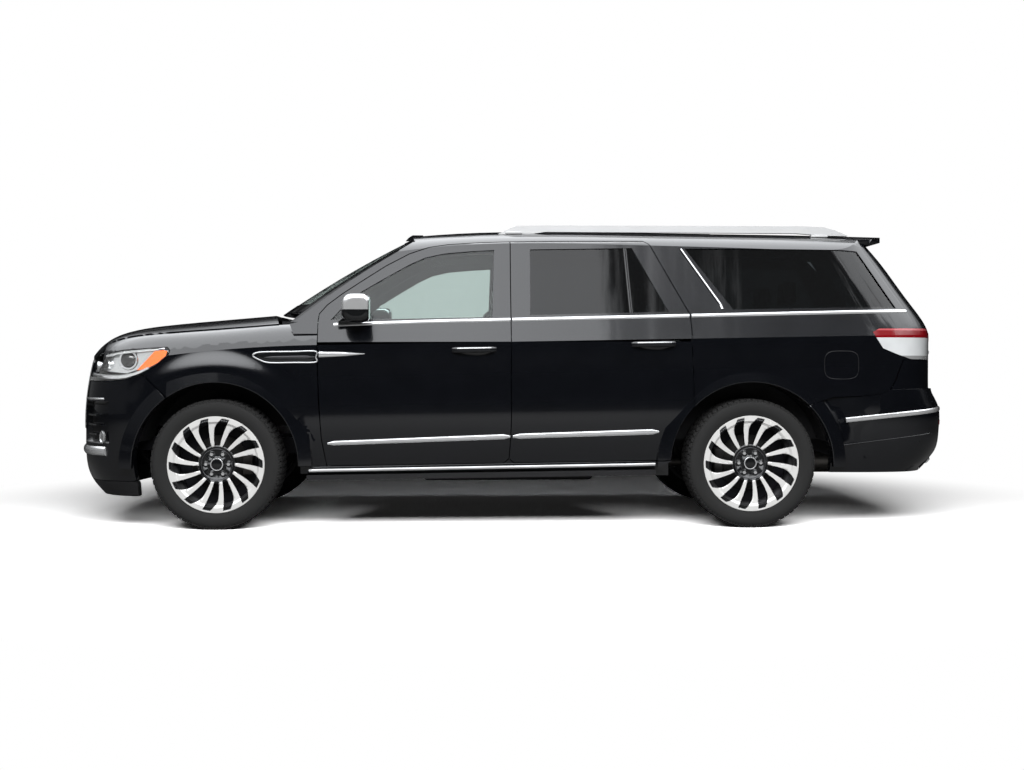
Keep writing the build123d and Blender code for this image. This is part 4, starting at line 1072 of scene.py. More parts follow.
@dataclass
class SideTrim:
    """Belt line, door mouldings, rocker strips, fender spears, handles, glass dividers and fuel door."""

    belt_height: float = 0.023
    handles: tuple[tuple[str, float, float], ...] = (("front", 1.602, 1.115), ("rear", 2.722, 1.150))
    handle_length: float = 0.262

    def build(self) -> None:
        """Make the trim on both sides."""
        foot = shifted(BELT_TOP, 0.0, self.belt_height)
        strips = (
            Strip("front_belt_moulding", "front_door", CHROME, 0.728, 1.828, BELT_TOP, foot),
            Strip("rear_belt_moulding", "rear_door", CHROME, 1.841, 2.953, BELT_TOP, foot),
            Strip("quarter_belt_moulding", "root", CHROME, 2.968, 4.352, BELT_TOP, foot, pitch=0.03),
            Strip("front_door_moulding", "front_door", CHROME, 0.692, 1.826, DOOR_TOP, DOOR_FOOT, 0.010, 0.03),
            Strip("rear_door_moulding", "rear_door", CHROME, 1.842, 2.756, DOOR_TOP, DOOR_FOOT, 0.010, 0.03),
        )
        for side, word in SIDES:
            for strip in strips:
                strip.build(side, word)
            self._rocker(side, word)
            self._spear(side, word)
            for label, x, z in self.handles:
                self._handle(side, word, label, x, z)
            self._divider(side, word)
        self._fuel_door()

    def _rocker(self, side: int, word: str) -> None:
        """Bright strip along the edge of the running board on one side."""
        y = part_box("running_boards")[1].y + 0.001
        path = [(station(x), side * y, between(ROCKER_TOP, x) - 0.013) for x in np.linspace(0.575, 2.735, 40)]
        strip = tube("rocker_moulding_" + word, path, 0.0095, CHROME, 12, 1.1)
        settle(strip, "root", CHROME)

    def _spear(self, side: int, word: str) -> None:
        """Blank bright spear on the fender, carried on by a blade on the front door.

        Args:
            side: LEFT or RIGHT.
            word: the side's name.
        """
        corners = ((0.236, 1.080), (0.262, 1.100), (0.330, 1.105), (0.480, 1.107), (0.619, 1.108), (0.622, 1.072),
                   (0.620, 1.042), (0.480, 1.039), (0.345, 1.038), (0.290, 1.050))
        ring = closed_curve(corners, 8)
        path = [(station(x), side * (BodyForm.side_y(x, z) + 0.0012), z) for x, z in ring]
        settle(tube("fender_spear_ring_" + word, path + path[:1], 0.0048, CHROME, 10), "root", CHROME)
        bed = Strip("fender_spear_bed", "root", GLOSS_BLACK, 0.262, 0.616,
                    ((0.262, 1.092), (0.33, 1.101), (0.62, 1.104)),
                    ((0.262, 1.068), (0.33, 1.044), (0.62, 1.046)), 0.0022, 0.02, 0.02)
        bar = Strip("fender_spear_bar", "root", BARREL, 0.300, 0.614, ((0.30, 1.078), (0.62, 1.086)),
                    ((0.30, 1.062), (0.62, 1.062)), 0.0042, 0.05, 0.02)
        blade = Strip("front_door_blade", "front_door", CHROME, 0.641, 0.924,
                      ((0.638, 1.106), (0.80, 1.104), (0.924, 1.096)),
                      ((0.638, 1.070), (0.80, 1.078), (0.924, 1.090)), 0.007, 0.0, 0.02)
        for strip in (bed, bar, blade):
            strip.build(side, word)

    def _handle(self, side: int, word: str, label: str, x: float, z: float) -> None:
        """Pull handle with its dark scoop behind it.

        Args:
            side: LEFT or RIGHT.
            word: the side's name.
            label: which door, front or rear.
            x: station of its middle.
            z: height of its middle.
        """
        half, body = self.handle_length / 2, label + "_door"
        skin = BodyForm.side_y(x, z)
        top = ((x - half, z + 0.013), (x, z + 0.019), (x + half, z + 0.016))
        foot = ((x - half, z - 0.014), (x, z - 0.030), (x + half, z - 0.024))
        Strip(label + "_handle_scoop", body, GLOSS_BLACK, x - half * 0.82, x + half * 0.82, top, foot, 0.0025, 0.05,
              0.02).build(side, word)
        path = []
        for u in np.linspace(-1.0, 1.0, 21):
            lift = 0.030 * (1.0 - abs(u) ** 6) + 0.002
            path.append((station(x + half * u), side * (skin + lift), z + 0.004 + 0.002 * u))
        grip = tube(label + "_door_handle_" + word, path, 0.0135, PAINT, 16, 1.3)
        bright = tube("strip", [(px, py + side * 0.0105, pz + 0.0085) for px, py, pz in path[2:-2]], 0.0042,
                      CHROME, 10)
        settle(join(label + "_door_handle_" + word, [grip, bright]), body + "_" + word, CHROME)

    def _divider(self, side: int, word: str) -> None:
        """Black bar that divides the rear door's glass."""
        place = on_side(side)
        foot, head = (2.590, 1.345), (2.566, 1.768)
        points = [place(foot[0] + (head[0] - foot[0]) * u, foot[1] + (head[1] - foot[1]) * u, 0.0062)
                  for u in np.linspace(0.0, 1.0, 12)]
        settle(tube("rear_glass_divider_" + word, points, 0.0125, GLOSS_BLACK, 10, 0.35), "rear_door_" + word,
               GLOSS_BLACK)

    def _fuel_door(self) -> None:
        """Outline of the fuel door on the left quarter panel, a thin line with rounded corners."""
        centre, half, place = (3.906, 1.024), (0.108, 0.088), on_side(LEFT)
        path = []
        for k in range(64):
            a = 2 * math.pi * k / 64
            c, s = math.cos(a), math.sin(a)
            x = centre[0] + half[0] * math.copysign(abs(c) ** 0.55, c)
            z = centre[1] + half[1] * math.copysign(abs(s) ** 0.55, s)
            path.append(place(x, z, 0.0006))
        settle(tube("fuel_door_outline_left", path + path[:1], 0.0022, SATIN_BLACK, 6), "root", SATIN_BLACK)


# ------------------------------------------------------------------ geometry-node rings
@dataclass
class BlockRing:
    """Geometry-node tree that sets blocks round a ring about the y axis, such as a tyre's tread."""

    name: str = "block_ring"

    def tree(self) -> bpy.types.GeometryNodeTree:
        """Return the node tree, made once."""
        found = bpy.data.node_groups.get(self.name)
        if found is not None:
            return found
        tree = bpy.data.node_groups.new(self.name, "GeometryNodeTree")
        for label, kind, value in (("Count", "NodeSocketInt", 60), ("Radius", "NodeSocketFloat", 0.4),
                                   ("Offset", "NodeSocketFloat", 0.0), ("Size", "NodeSocketVector", None),
                                   ("Skew", "NodeSocketFloat", 0.0), ("Phase", "NodeSocketFloat", 0.0),
                                   ("Finish", "NodeSocketMaterial", None)):
            socket = tree.interface.new_socket(label, in_out="INPUT", socket_type=kind)
            if value is not None:
                socket.default_value = value
        tree.interface.new_socket("Geometry", in_out="OUTPUT", socket_type="NodeSocketGeometry")
        wires = Wiring(tree)
        given = wires.add("NodeGroupInput").outputs
        index = wires.add("GeometryNodeInputIndex").outputs[0]
        points = wires.add("GeometryNodePoints", {"Count": given["Count"]})
        turn = wires.maths("DIVIDE", wires.maths("MULTIPLY", index, 2 * math.pi), given["Count"])
        turn = wires.maths("ADD", turn, given["Phase"])
        spot = wires.add("ShaderNodeCombineXYZ", {
            "X": wires.maths("MULTIPLY", wires.maths("COSINE", turn), given["Radius"]), "Y": given["Offset"],
            "Z": wires.maths("MULTIPLY", wires.maths("SINE", turn), given["Radius"])})
        angle = wires.add("ShaderNodeCombineXYZ", {"X": given["Skew"], "Y": wires.maths("MULTIPLY", turn, -1.0)})
        place = wires.add("GeometryNodeSetPosition", {"Geometry": points.outputs[0], "Position": spot.outputs[0]})
        cube = wires.add("GeometryNodeMeshCube", {"Size": given["Size"]})
        copies = wires.add("GeometryNodeInstanceOnPoints", {
            "Points": place.outputs[0], "Instance": cube.outputs["Mesh"], "Rotation": angle.outputs[0]})
        real = wires.add("GeometryNodeRealizeInstances", {0: copies.outputs[0]})
        cover = wires.add("GeometryNodeSetMaterial", {"Geometry": real.outputs[0], "Material": given["Finish"]})
        wires.add("NodeGroupOutput", {0: cover.outputs[0]})
        return tree

    def ring(self, count: int, radius: float, offset: float, size: Point, skew: float, phase: float,
             finish: Finish) -> Object:
        """One ring as a plain mesh about the origin.

        Args:
            count: number of blocks.
            radius: distance of the block centres from the axle.
            offset: their place along the axle.
            size: block size along the radius, the axle and the tread.
            skew: turn of each block about its own radius.
            phase: turn of the whole ring.
            finish: what the blocks are made of.

        Returns:
            The new object.
        """
        obj = new_object("ring", bpy.data.meshes.new("ring"))
        modifier = obj.modifiers.new("ring", "NODES")
        modifier.node_group = self.tree()
        values = {"Count": count, "Radius": radius, "Offset": offset, "Size": size, "Skew": skew, "Phase": phase,
                  "Finish": finish.material()}
        for item in modifier.node_group.interface.items_tree:
            if item.in_out == "INPUT":
                modifier[item.identifier] = values[item.name]
        return apply_modifiers(obj)


# ------------------------------------------------------------------ wheels
@dataclass
class Wheels:
    """Tyres with tread, alloy rims with machined spokes, caps, nuts, and the calipers behind them."""

    spokes: int = 14
    lug_circle: float = 0.070
    tread_count: int = 66
    tread: tuple[tuple[int, float, float, Point, float, float], ...] = (
        (1, 0.3995, 0.1005, (0.011, 0.0300, 0.0290), 0.10, 0.0),
        (1, 0.3990, 0.0520, (0.011, 0.0320, 0.0240), 0.35, 0.02),
        (2, 0.3880, 0.1310, (0.017, 0.0075, 0.0060), 0.0, 0.0),
        (1, 0.3945, 0.1200, (0.012, 0.0160, 0.0270), 0.05, 0.0))
    tips: tuple[tuple[float, float, float, float], ...] = (
        (0.2540, 0.1162, -10.2, 1.2), (0.2675, 0.1277, -9.7, 3.5), (0.2840, 0.1277, -9.0, 6.5),
        (0.2902, 0.1289, -8.8, 7.7), (0.2988, 0.1289, -8.5, 9.4))
    profile: Line = (
        (0.2845, 0.112), (0.2870, 0.1185), (0.2990, 0.1205), (0.3030, 0.1260), (0.3070, 0.1282), (0.3120, 0.1300),
        (0.3260, 0.1375), (0.3430, 0.1415), (0.3600, 0.1420), (0.3740, 0.1395), (0.3850, 0.1350), (0.3925, 0.1270),
        (0.3965, 0.1180), (0.3980, 0.1050), (0.3985, 0.0840), (0.3935, 0.0820), (0.3935, 0.0720), (0.3990, 0.0700),
        (0.3995, 0.0340), (0.3940, 0.0320), (0.3940, 0.0220), (0.4000, 0.0200))

    def build(self, nodes: dict[str, Object]) -> None:
        """Dress all four wheels and both knuckles."""
        for x, end in ((0.0, "front"), (WHEELBASE, "rear")):
            for side, word in SIDES:
                turn = Matrix.Rotation(math.pi if side == LEFT else 0.0, 4, "Z")
                place = Matrix.Translation((station(x), side * HALF_TRACK, AXLE_Z)) @ turn
                body = end + "_wheel_" + word
                shield = lathe("shield", ((0.045, -0.0600), (0.258, -0.0600), (0.258, -0.0575), (0.045, -0.0575)),
                               FRAME_PAINT, 72)
                settle(placed(join("dust_shield_%s_%s" % (end, word), [shield]), place),
                       "front_knuckle_" + word if end == "front" else "root", FRAME_PAINT)
                self._tyre(end + "_tyre_" + word, place, body)
                self._rim(nodes[end + "_rim_" + word], place, body)
                self._cap(end, word, place, body)
        self._calipers()

    def _tyre(self, node: str, place: Matrix, body: str) -> None:
        """Carcass with ribbed shoulders and rows of tread blocks.

        Args:
            node: the CAD tyre that it replaces.
            place: turns and moves a wheel at the origin to this corner.
            body: the wheel's body.
        """
        section = list(self.profile) + [(r, -y) for r, y in self.profile[::-1]]
        pieces = [lathe("carcass", section, RUBBER, 128)]
        rows = BlockRing()
        for sign in (-1.0, 1.0):
            for share, radius, offset, size, skew, phase in self.tread:
                pieces.append(rows.ring(self.tread_count * share, radius, sign * offset, size, skew * sign, phase,
                                        RUBBER))
        pieces.append(rows.ring(self.tread_count, 0.3990, 0.0, (0.011, 0.0340, 0.0230), -0.30, 0.03, RUBBER))
        tyre = placed(join(node + "_treaded", pieces), place)
        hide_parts(node)
        settle(tyre, body, RUBBER)

    def _rim(self, source: Object, place: Matrix, body: str) -> None:
        """Copy of the CAD rim with its machined, painted and brake faces told apart.

        Args:
            source: the CAD rim.
            place: turns and moves a wheel at the origin to this corner.
            body: the wheel's body.
        """
        finishes = (POCKET, MACHINED, BARREL, BRAKE_DISC)
        shell = welded(source.data)
        back = place.inverted()
        for face in shell.faces:
            middle = back @ face.calc_center_median()
            facing = back.to_3x3() @ face.normal
            radius = math.hypot(middle.x, middle.z)
            kind = POCKET
            if facing.y > 0.90 and 0.088 < middle.y < 0.1235 and 0.114 < radius < 0.290:
                kind = MACHINED
            elif radius > 0.2895 and middle.y > 0.1265:
                kind = MACHINED
            elif radius > 0.250 and abs(facing.y) < 0.9:
                kind = BARREL
            elif middle.y < 0.001 and radius > 0.09:
                kind = BRAKE_DISC if radius < 0.18 else BARREL
            face.material_index = finishes.index(kind)
        rim = shaded(freed(source.name + "_finished", shell), [finish.material() for finish in finishes], 0.5)
        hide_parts(source.name)
        settle(rim, body, MACHINED)

    def _cap(self, end: str, word: str, place: Matrix, body: str) -> None:
        """Blank hub cap with a bright ring, the lug nuts round it and the spokes' tips.

        Args:
            end: front or rear.
            word: the side's name.
            place: turns and moves a wheel at the origin to this corner.
            body: the wheel's body.
        """
        cap = lathe("cap", [(0.0, 0.0955), (0.0320, 0.0955), (0.0335, 0.0985), (0.0300, 0.1000), (0.0180, 0.1008),
                            (0.0, 0.1010)], GLOSS_BLACK, 48)
        ring = lathe("ring", [(0.0335, 0.0950), (0.0395, 0.0950), (0.0400, 0.0990), (0.0380, 0.1010),
                              (0.0350, 0.1010), (0.0335, 0.0990)], CHROME, 48)
        band = lathe("band", [(0.0940, 0.0835), (0.0985, 0.0835), (0.0985, 0.0925), (0.0965, 0.0935),
                              (0.0940, 0.0915)], BARREL, 72)
        pieces = [cap, ring, band, self._tips()]
        for index in range(6):
            turn = math.radians(60.0 * index)
            nut = lathe("nut", [(0.0, 0.066), (0.0125, 0.066), (0.0125, 0.084), (0.0100, 0.0885), (0.0050, 0.0900),
                                (0.0, 0.0902)], CHROME, 6)
            pieces.append(placed(nut, Matrix.Translation((self.lug_circle * math.cos(turn), 0.0,
                                                          self.lug_circle * math.sin(turn)))))
        hub = placed(join(end + "_hub_cap_" + word, pieces), place)
        settle(hub, body, CHROME)

    def _tips(self) -> Object:
        """Machined tips that carry each spoke's face out over the rim's lip."""
        points: list[Point] = []
        faces: list[tuple[int, ...]] = []
        for index in range(self.spokes):
            turn = 2 * math.pi * index / self.spokes
            first = len(points)
            for lift in (0.0, -0.0030):
                for radius, height, lead, trail in self.tips:
                    for share in np.linspace(0.0, 1.0, 7):
                        angle = math.radians(lead + (trail - lead) * share) + turn
                        points.append((-radius * math.sin(angle), height + lift, radius * math.cos(angle)))
            rows, wide = len(self.tips), 7
            for layer in (0, 1):
                base = first + layer * rows * wide
                for i in range(rows - 1):
                    for k in range(wide - 1):
                        a = base + i * wide + k
                        faces.append((a, a + 1, a + wide + 1, a + wide))
            rim = list(range(wide)) + [i * wide + wide - 1 for i in range(1, rows)]
            rim += [(rows - 1) * wide + k for k in range(wide - 2, -1, -1)]
            rim += [i * wide for i in range(rows - 2, 0, -1)]
            for k, here in enumerate(rim):
                there = rim[(k + 1) % len(rim)]
                faces.append((first + here, first + there, first + there + rows * wide, first + here + rows * wide))
        return mesh_piece("tips", points, faces, MACHINED, 0.5)

    def _calipers(self) -> None:
        """Calipers over the rear discs; the front ones belong to the knuckles."""
        for side, word in SIDES:
            low = (station(WHEELBASE) - 0.212, side * 0.790, AXLE_Z - 0.08)
            high = (station(WHEELBASE) - 0.150, side * 0.850, AXLE_Z + 0.09)
            low, high = [tuple(f(a, b) for a, b in zip(low, high)) for f in (min, max)]
            settle(rounded_box("rear_caliper_back_" + word, low, high, 0.012, CALIPER), "root", CALIPER)


# ------------------------------------------------------------------ lamps, nose and tail
def skin_shell(source: Object, name: str, guide: Guide, thick: float, finish: Finish, outer: bool,
               side: int) -> Object:
    """Thin shell from the part of a CAD node that lies, or doesn't lie, on a guide surface.

    Args:
        source: the node's object.
        name: name of the piece.
        guide: the smooth surface.
        thick: thickness of the shell, inward.
        finish: what it is made of.
        outer: true for the faces on the guide, false for the others.
        side: keep only this side of the car.

    Returns:
        The new object.
    """
    shell = welded(source.data)
    shell.faces.ensure_lookup_table()
    centres = np.array([f.calc_center_median() for f in shell.faces])
    normals = np.array([f.normal for f in shell.faces])
    away, facing = guide_field(guide, centres, centres[:, 2] > BodyForm.crease(centres[:, 0] + MID_STATION))
    on = (np.abs(away) < 0.006) & (np.einsum("ij,ij->i", facing, normals) > 0.85)
    keep = (on if outer else ~on) & (centres[:, 1] * side > 0)
    bmesh.ops.delete(shell, geom=[f for f, k in zip(list(shell.faces), keep) if not k], context="FACES")
    obj = shaded(freed(name, shell), [finish.material()], math.pi)
    solid = obj.modifiers.new("wall", "SOLIDIFY")
    solid.thickness = thick
    solid.offset = -1.0
    apply_modifiers(obj).data.set_sharp_from_angle(angle=0.5)
    return obj


@dataclass
class FrontEnd:
    """Headlamps with their insides, grille surround, bumper trim and wipers."""

    amber: Line = ((-0.482, 0.992), (-0.430, 1.045), (-0.370, 1.108), (-0.312, 1.116), (-0.292, 1.110),
                   (-0.300, 1.082), (-0.350, 1.038), (-0.415, 1.004))
    guide_line: Line = ((-0.690, 1.080), (-0.582, 1.100), (-0.450, 1.113), (-0.339, 1.121), (-0.305, 1.122))
    foot_line: Line = ((-0.790, 0.962), (-0.62, 0.948), (-0.50, 0.966), (-0.40, 1.008))
    reflector: Line = ((-0.700, 0.985), (-0.560, 0.972), (-0.490, 0.995), (-0.430, 1.050), (-0.378, 1.112),
                       (-0.580, 1.095), (-0.680, 1.072))
    projectors: tuple[tuple[float, float, float, float, float], ...] = (
        (-0.800, 0.690, 1.000, 1.0, 0.0), (-0.775, 0.775, 1.008, 1.0, 12.0), (-0.700, 0.850, 1.026, 1.0, 40.0),
        (-0.548, 0.918, 1.056, 1.60, 78.0))
    grille_half: float = 0.566

    def build(self, nodes: dict[str, Object]) -> None:
        """Make the lamps and the trim of the nose."""
        lamps = nodes["headlamps"]
        covers = []
        for side, word in SIDES:
            covers.append(skin_shell(lamps, "headlamp_lens_" + word, Guide.FRONT, 0.0025, LENS, True, side))
            bucket = skin_shell(lamps, "headlamp_bucket_" + word, Guide.FRONT, 0.003, GLOSS_BLACK, False, side)
            settle(covers[-1], "root", LENS)
            settle(bucket, "root", GLOSS_BLACK)
            self._inside(side, word)
        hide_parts("headlamps")
        self._bumper_trim()
        self._grille()
        self._wipers()

    def _inside(self, side: int, word: str) -> None:
        """Amber reflector, silver reflector, light guides and projectors of one lamp.

        Args:
            side: LEFT or RIGHT.
            word: the side's name.
        """
        place = on_side(side, "front")
        settle(patch("amber_reflector_" + word, self.amber, place, 0.006, 0.006, AMBER_LENS), "root", AMBER_LENS)
        settle(patch("headlamp_reflector_" + word, self.reflector, place, 0.052, 0.003, SILVERED), "root", SILVERED)
        for label, table, start, end, radius in (("light_guide_", self.guide_line, -0.69, -0.306, 0.0085),
                                                 ("lower_light_guide_", self.foot_line, -0.79, -0.405, 0.0125)):
            path = [place(x, between(table, x), 0.0115 if radius < 0.01 else 0.0155)
                    for x in np.linspace(start, end, 28)]
            settle(tube(label + word, path, radius, SILVERED, 12, 1.15), "root", SILVERED)
        for index, (x, y, z, size, fan) in enumerate(self.projectors):
            body = lathe("projector", [(0.0, -0.030), (0.034, -0.030), (0.041, 0.0), (0.038, 0.004), (0.031, 0.002),
                                       (0.0, 0.002)], SILVERED, 32)
            glass = lathe("eye", [(0.0, 0.003), (0.0305, 0.003), (0.024, 0.010), (0.013, 0.014), (0.0, 0.0155)],
                          GLOSS_BLACK, 32)
            unit = placed(join("projector_%s_%d" % (word, index), [body, glass]), Matrix.Scale(size, 4))
            settle(placed(unit, self._aim((station(x), side * y, z), side, fan)), "root", SILVERED)

    @staticmethod
    def _aim(spot: Point, side: int, fan: float) -> Matrix:
        """Turn a lamp forward, and outward by an angle in degrees, and move it to its spot."""
        return Matrix.Translation(spot) @ Matrix.Rotation(math.radians(90.0 - side * fan), 4, "Z")

    def _bumper_trim(self) -> None:
        """Bright blades and bars, slats in the corners and the lower intake, fog lamps and sensors."""
        nose = on_end("front")
        for side, word in SIDES:
            path = self._corner(side, 0.487, 0.004, np.linspace(-0.690, -0.930, 22), np.linspace(0.80, 0.06, 20))
            settle(tube("lower_blade_" + word, path, 0.021, CHROME, squash=1.45), "root", CHROME)
            path = self._corner(side, 0.812, 0.001, np.linspace(-0.700, -0.930, 20), np.linspace(0.80, 0.60, 8))
            settle(tube("corner_bar_" + word, path, 0.0055, CHROME, 10, 1.3), "root", CHROME)
            slats = [tube("slat", [nose(side * y, z, 0.022) for y in np.linspace(0.64, 0.86, 12)], 0.009,
                          GLOSS_BLACK, 8, 0.8) for z in (0.590, 0.650, 0.710)]
            settle(join("corner_slats_" + word, slats), "root", GLOSS_BLACK)
            fog = lathe("fog_lamp", [(0.0, 0.0), (0.036, 0.0), (0.040, 0.010), (0.034, 0.014), (0.028, 0.008),
                                     (0.0, 0.016)], SILVERED, 32)
            aim = self._aim(nose(side * 0.90, 0.575, 0.020), side, 35.0)
            settle(join("fog_lamp_" + word, [placed(fog, aim)]), "root", SILVERED)
            sensor = patch("front_sensor_" + word, disc(-0.545, 0.547, 0.013), on_side(side, "front"), -0.0012,
                           0.002, GLOSS_BLACK, 2)
            settle(sensor, "root", GLOSS_BLACK)
        mouth = [tube("slat", [nose(y, z, 0.024) for y in np.linspace(-0.49, 0.49, 31)], 0.007, SATIN_BLACK, 8, 0.8)
                 for z in np.linspace(0.425, 0.545, 5)]
        settle(join("lower_intake_slats", mouth), "root", SATIN_BLACK)

    @staticmethod
    def _corner(side: int, z: float, depth: float, wing: np.ndarray, nose: np.ndarray) -> list[Point]:
        """Level line round one corner of the front bumper.

        Args:
            side: LEFT or RIGHT.
            z: its height.
            depth: its depth behind the skin.
            wing: stations of its points beside the wheel.
            nose: distances from the centreline of its points across the nose.

        Returns:
            The points, from the wheel inward.
        """
        place, front = on_side(side, "front"), on_end("front")
        path = [place(x, z, depth) for x in wing]
        return [p for p in path if abs(p[1]) > 0.80] + [front(side * y, z, depth) for y in nose]

    def _grille(self) -> None:
        """Bright surround of the grille, and the mesh and dark plate behind its bars."""
        low, high = (corner.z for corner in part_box("radiator_grille"))
        place, wide = on_end("front"), self.grille_half
        bars = []
        for i in range(29):
            z = low + 0.02 + (high - low - 0.04) * i / 28
            bars.append(tube("bar", [place(y, z, 0.040) for y in np.linspace(-0.54, 0.54, 31)], 0.0032, GLOSS_BLACK,
                             6))
        settle(join("grille_mesh", bars), "root", GLOSS_BLACK)
        foot, head = low + 0.004, high - 0.004
        back = patch("grille_back", ((-0.555, foot), (0.555, foot), (0.555, head), (-0.555, head)), place, 0.052,
                     0.004, SATIN_BLACK)
        settle(back, "root", SATIN_BLACK)
        foot, head = low - 0.004, high + 0.004
        edges = [[place(y, z, 0.004) for y in np.linspace(-wide, wide, 41)] for z in (foot, head)]
        edges += [[place(y, z, 0.004) for z in np.linspace(foot, head, 21)] for y in (-wide, wide)]
        settle(join("grille_surround", [tube("bar", edge, 0.011, CHROME) for edge in edges]), "root", CHROME)

    def _wipers(self) -> None:
        """Two wiper arms at the foot of the windscreen."""
        for word, start, end in (("left", -0.64, -0.06), ("right", 0.08, 0.66)):
            path = []
            for y in np.linspace(start, end, 16):
                x = 0.345 + 0.093 * (abs(y) / 0.7) ** 2
                path.append((station(x), y, 1.3105 + 0.012 * math.sin(math.pi * (y - start) / (end - start))))
            settle(tube("wiper_" + word, path, 0.0065, SATIN_BLACK, 8, 0.8), "root", SATIN_BLACK)


# ------------------------------------------------------------------ mirrors, roof and tail
@dataclass
class Mirrors:
    """Bright caps and glasses of the door mirrors."""

    cap_foot: float = 1.352
    glass: Line = ((1.030, 1.318), (1.046, 1.304), (1.130, 1.306), (1.148, 1.322), (1.150, 1.420),
                   (1.136, 1.438), (1.046, 1.444), (1.030, 1.430))

    def build(self, nodes: dict[str, Object]) -> None:
        """Dress both mirrors."""
        for side, word in SIDES:
            node = nodes["door_mirror_" + word]
            housing = new_object("mirror_housing_" + word, node.data.copy())
            even = housing.modifiers.new("even", "REMESH")
            even.mode = "VOXEL"
            even.voxel_size = 0.005
            soften = housing.modifiers.new("soften", "SMOOTH")
            soften.factor, soften.iterations = 0.5, 8
            apply_modifiers(housing)
            mesh = housing.data
            mesh.materials.clear()
            for finish in (GLOSS_BLACK, CHROME):
                mesh.materials.append(finish.material())
            for face in mesh.polygons:
                _, y, z = face.center
                line = self.cap_foot + 0.10 * max(0.0, abs(y) - 1.05)
                face.material_index = int(z > line and abs(y) > 1.000)
                face.use_smooth = True
            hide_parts(node.name)
            settle(housing, "front_door_" + word, CHROME)
            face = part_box(node.name)[1].x
            points = [(face + depth, side * y, z) for depth in (0.0004, 0.0024) for y, z in self.glass]
            glass = mesh_piece("mirror_glass_" + word, points, ring_faces(2, len(self.glass)), MIRROR_GLASS)
            settle(glass, "front_door_" + word, MIRROR_GLASS)


@dataclass
class RoofTrim:
    """Glass panel in the roof, headliner under it, feet of the rails, and the windscreen's black band."""

    panel: tuple[float, float, float] = (1.330, 3.050, 0.500)

    def build(self) -> None:
        """Make the roof's pieces."""
        front, back, half = self.panel
        outline = closed_curve(((front, -half * 0.93), (front + 0.03, -half), (back - 0.02, -half),
                                (back, -half * 0.95), (back, half * 0.95), (back - 0.02, half),
                                (front + 0.03, half), (front, half * 0.93)), 3)
        settle(patch("roof_glass_panel", outline, on_roof, -0.0018, 0.003, ROOF_GLASS, 14), "root", ROOF_GLASS)
        lining = ((1.24, -0.60), (4.00, -0.62), (4.00, 0.62), (1.24, 0.60))
        settle(patch("headliner", lining, on_roof, 0.0345, 0.006, CABIN_CLOTH, 16), "root", CABIN_CLOTH)
        for side, word in SIDES:
            feet = []
            for x in (1.86, 3.86):
                x, y, z = on_roof(x, side * 0.619, 0.0)
                feet.append(rounded_box("foot", (x - 0.055, y - 0.026, z - 0.004),
                                        (x + 0.055, y + 0.026, z + 0.012), 0.004, RAIL))
            settle(join("rail_feet_" + word, feet), "root", RAIL)
        self._screen_band()

    @staticmethod
    def screen_point(across: float, up: float, inset: float) -> Point:
        """Point of the windscreen.

        Args:
            across: place across it, from -1 to 1.
            up: place up it, from 0 to 1.
            inset: depth below its outer face.

        Returns:
            The point.
        """
        half = 0.852 - 0.182 * up + 0.014 * up ** 2
        y = across * half
        rise = up * (0.981 - 0.132 * (y / 0.7) ** 2)
        y = across * (0.852 - 0.182 * rise + 0.014 * rise ** 2)
        x = 0.305 + 0.885 * rise + 0.150 * (y / 0.7) ** 2 + 0.5 * inset
        return station(x), y, 1.366 + 0.515 * rise + 0.092 * rise * (1.0 - rise) - 0.86 * inset

    def _screen_band(self) -> None:
        """Black band round the windscreen's edge that hides the joint with the body."""
        along = 36
        ring = [(-1.0 + 2.0 * i / along, 0.0) for i in range(along)]
        ring += [(1.0, i / along) for i in range(along)]
        ring += [(1.0 - 2.0 * i / along, 1.0) for i in range(along)]
        ring += [(-1.0, 1.0 - i / along) for i in range(along)]
        side_share, foot_share, head_share = 0.070, 0.095, 0.052
        points = []
        for inset in (0.0012, 0.0042):
            for depth in (-0.10, 0.5, 1.0):
                for across, up in ring:
                    low, high = foot_share * depth, 1.0 - head_share * depth
                    share = across * (1.0 - side_share * depth)
                    points.append(self.screen_point(share, low + (high - low) * up, inset))
        count = len(ring)
        joined = ((0, 1, 1), (3, 4, -1), (1, 2, 1), (4, 5, -1), (0, 3, 1), (2, 5, -1))      # rows and winding
        faces = []
        for i in range(count):
            for a, b, winding in joined:
                near, far = (i, (i + 1) % count)[::winding]
                faces.append((a * count + near, a * count + far, b * count + far, b * count + near))
        settle(mesh_piece("windscreen_band", points, faces, GLOSS_BLACK), "root", GLOSS_BLACK)


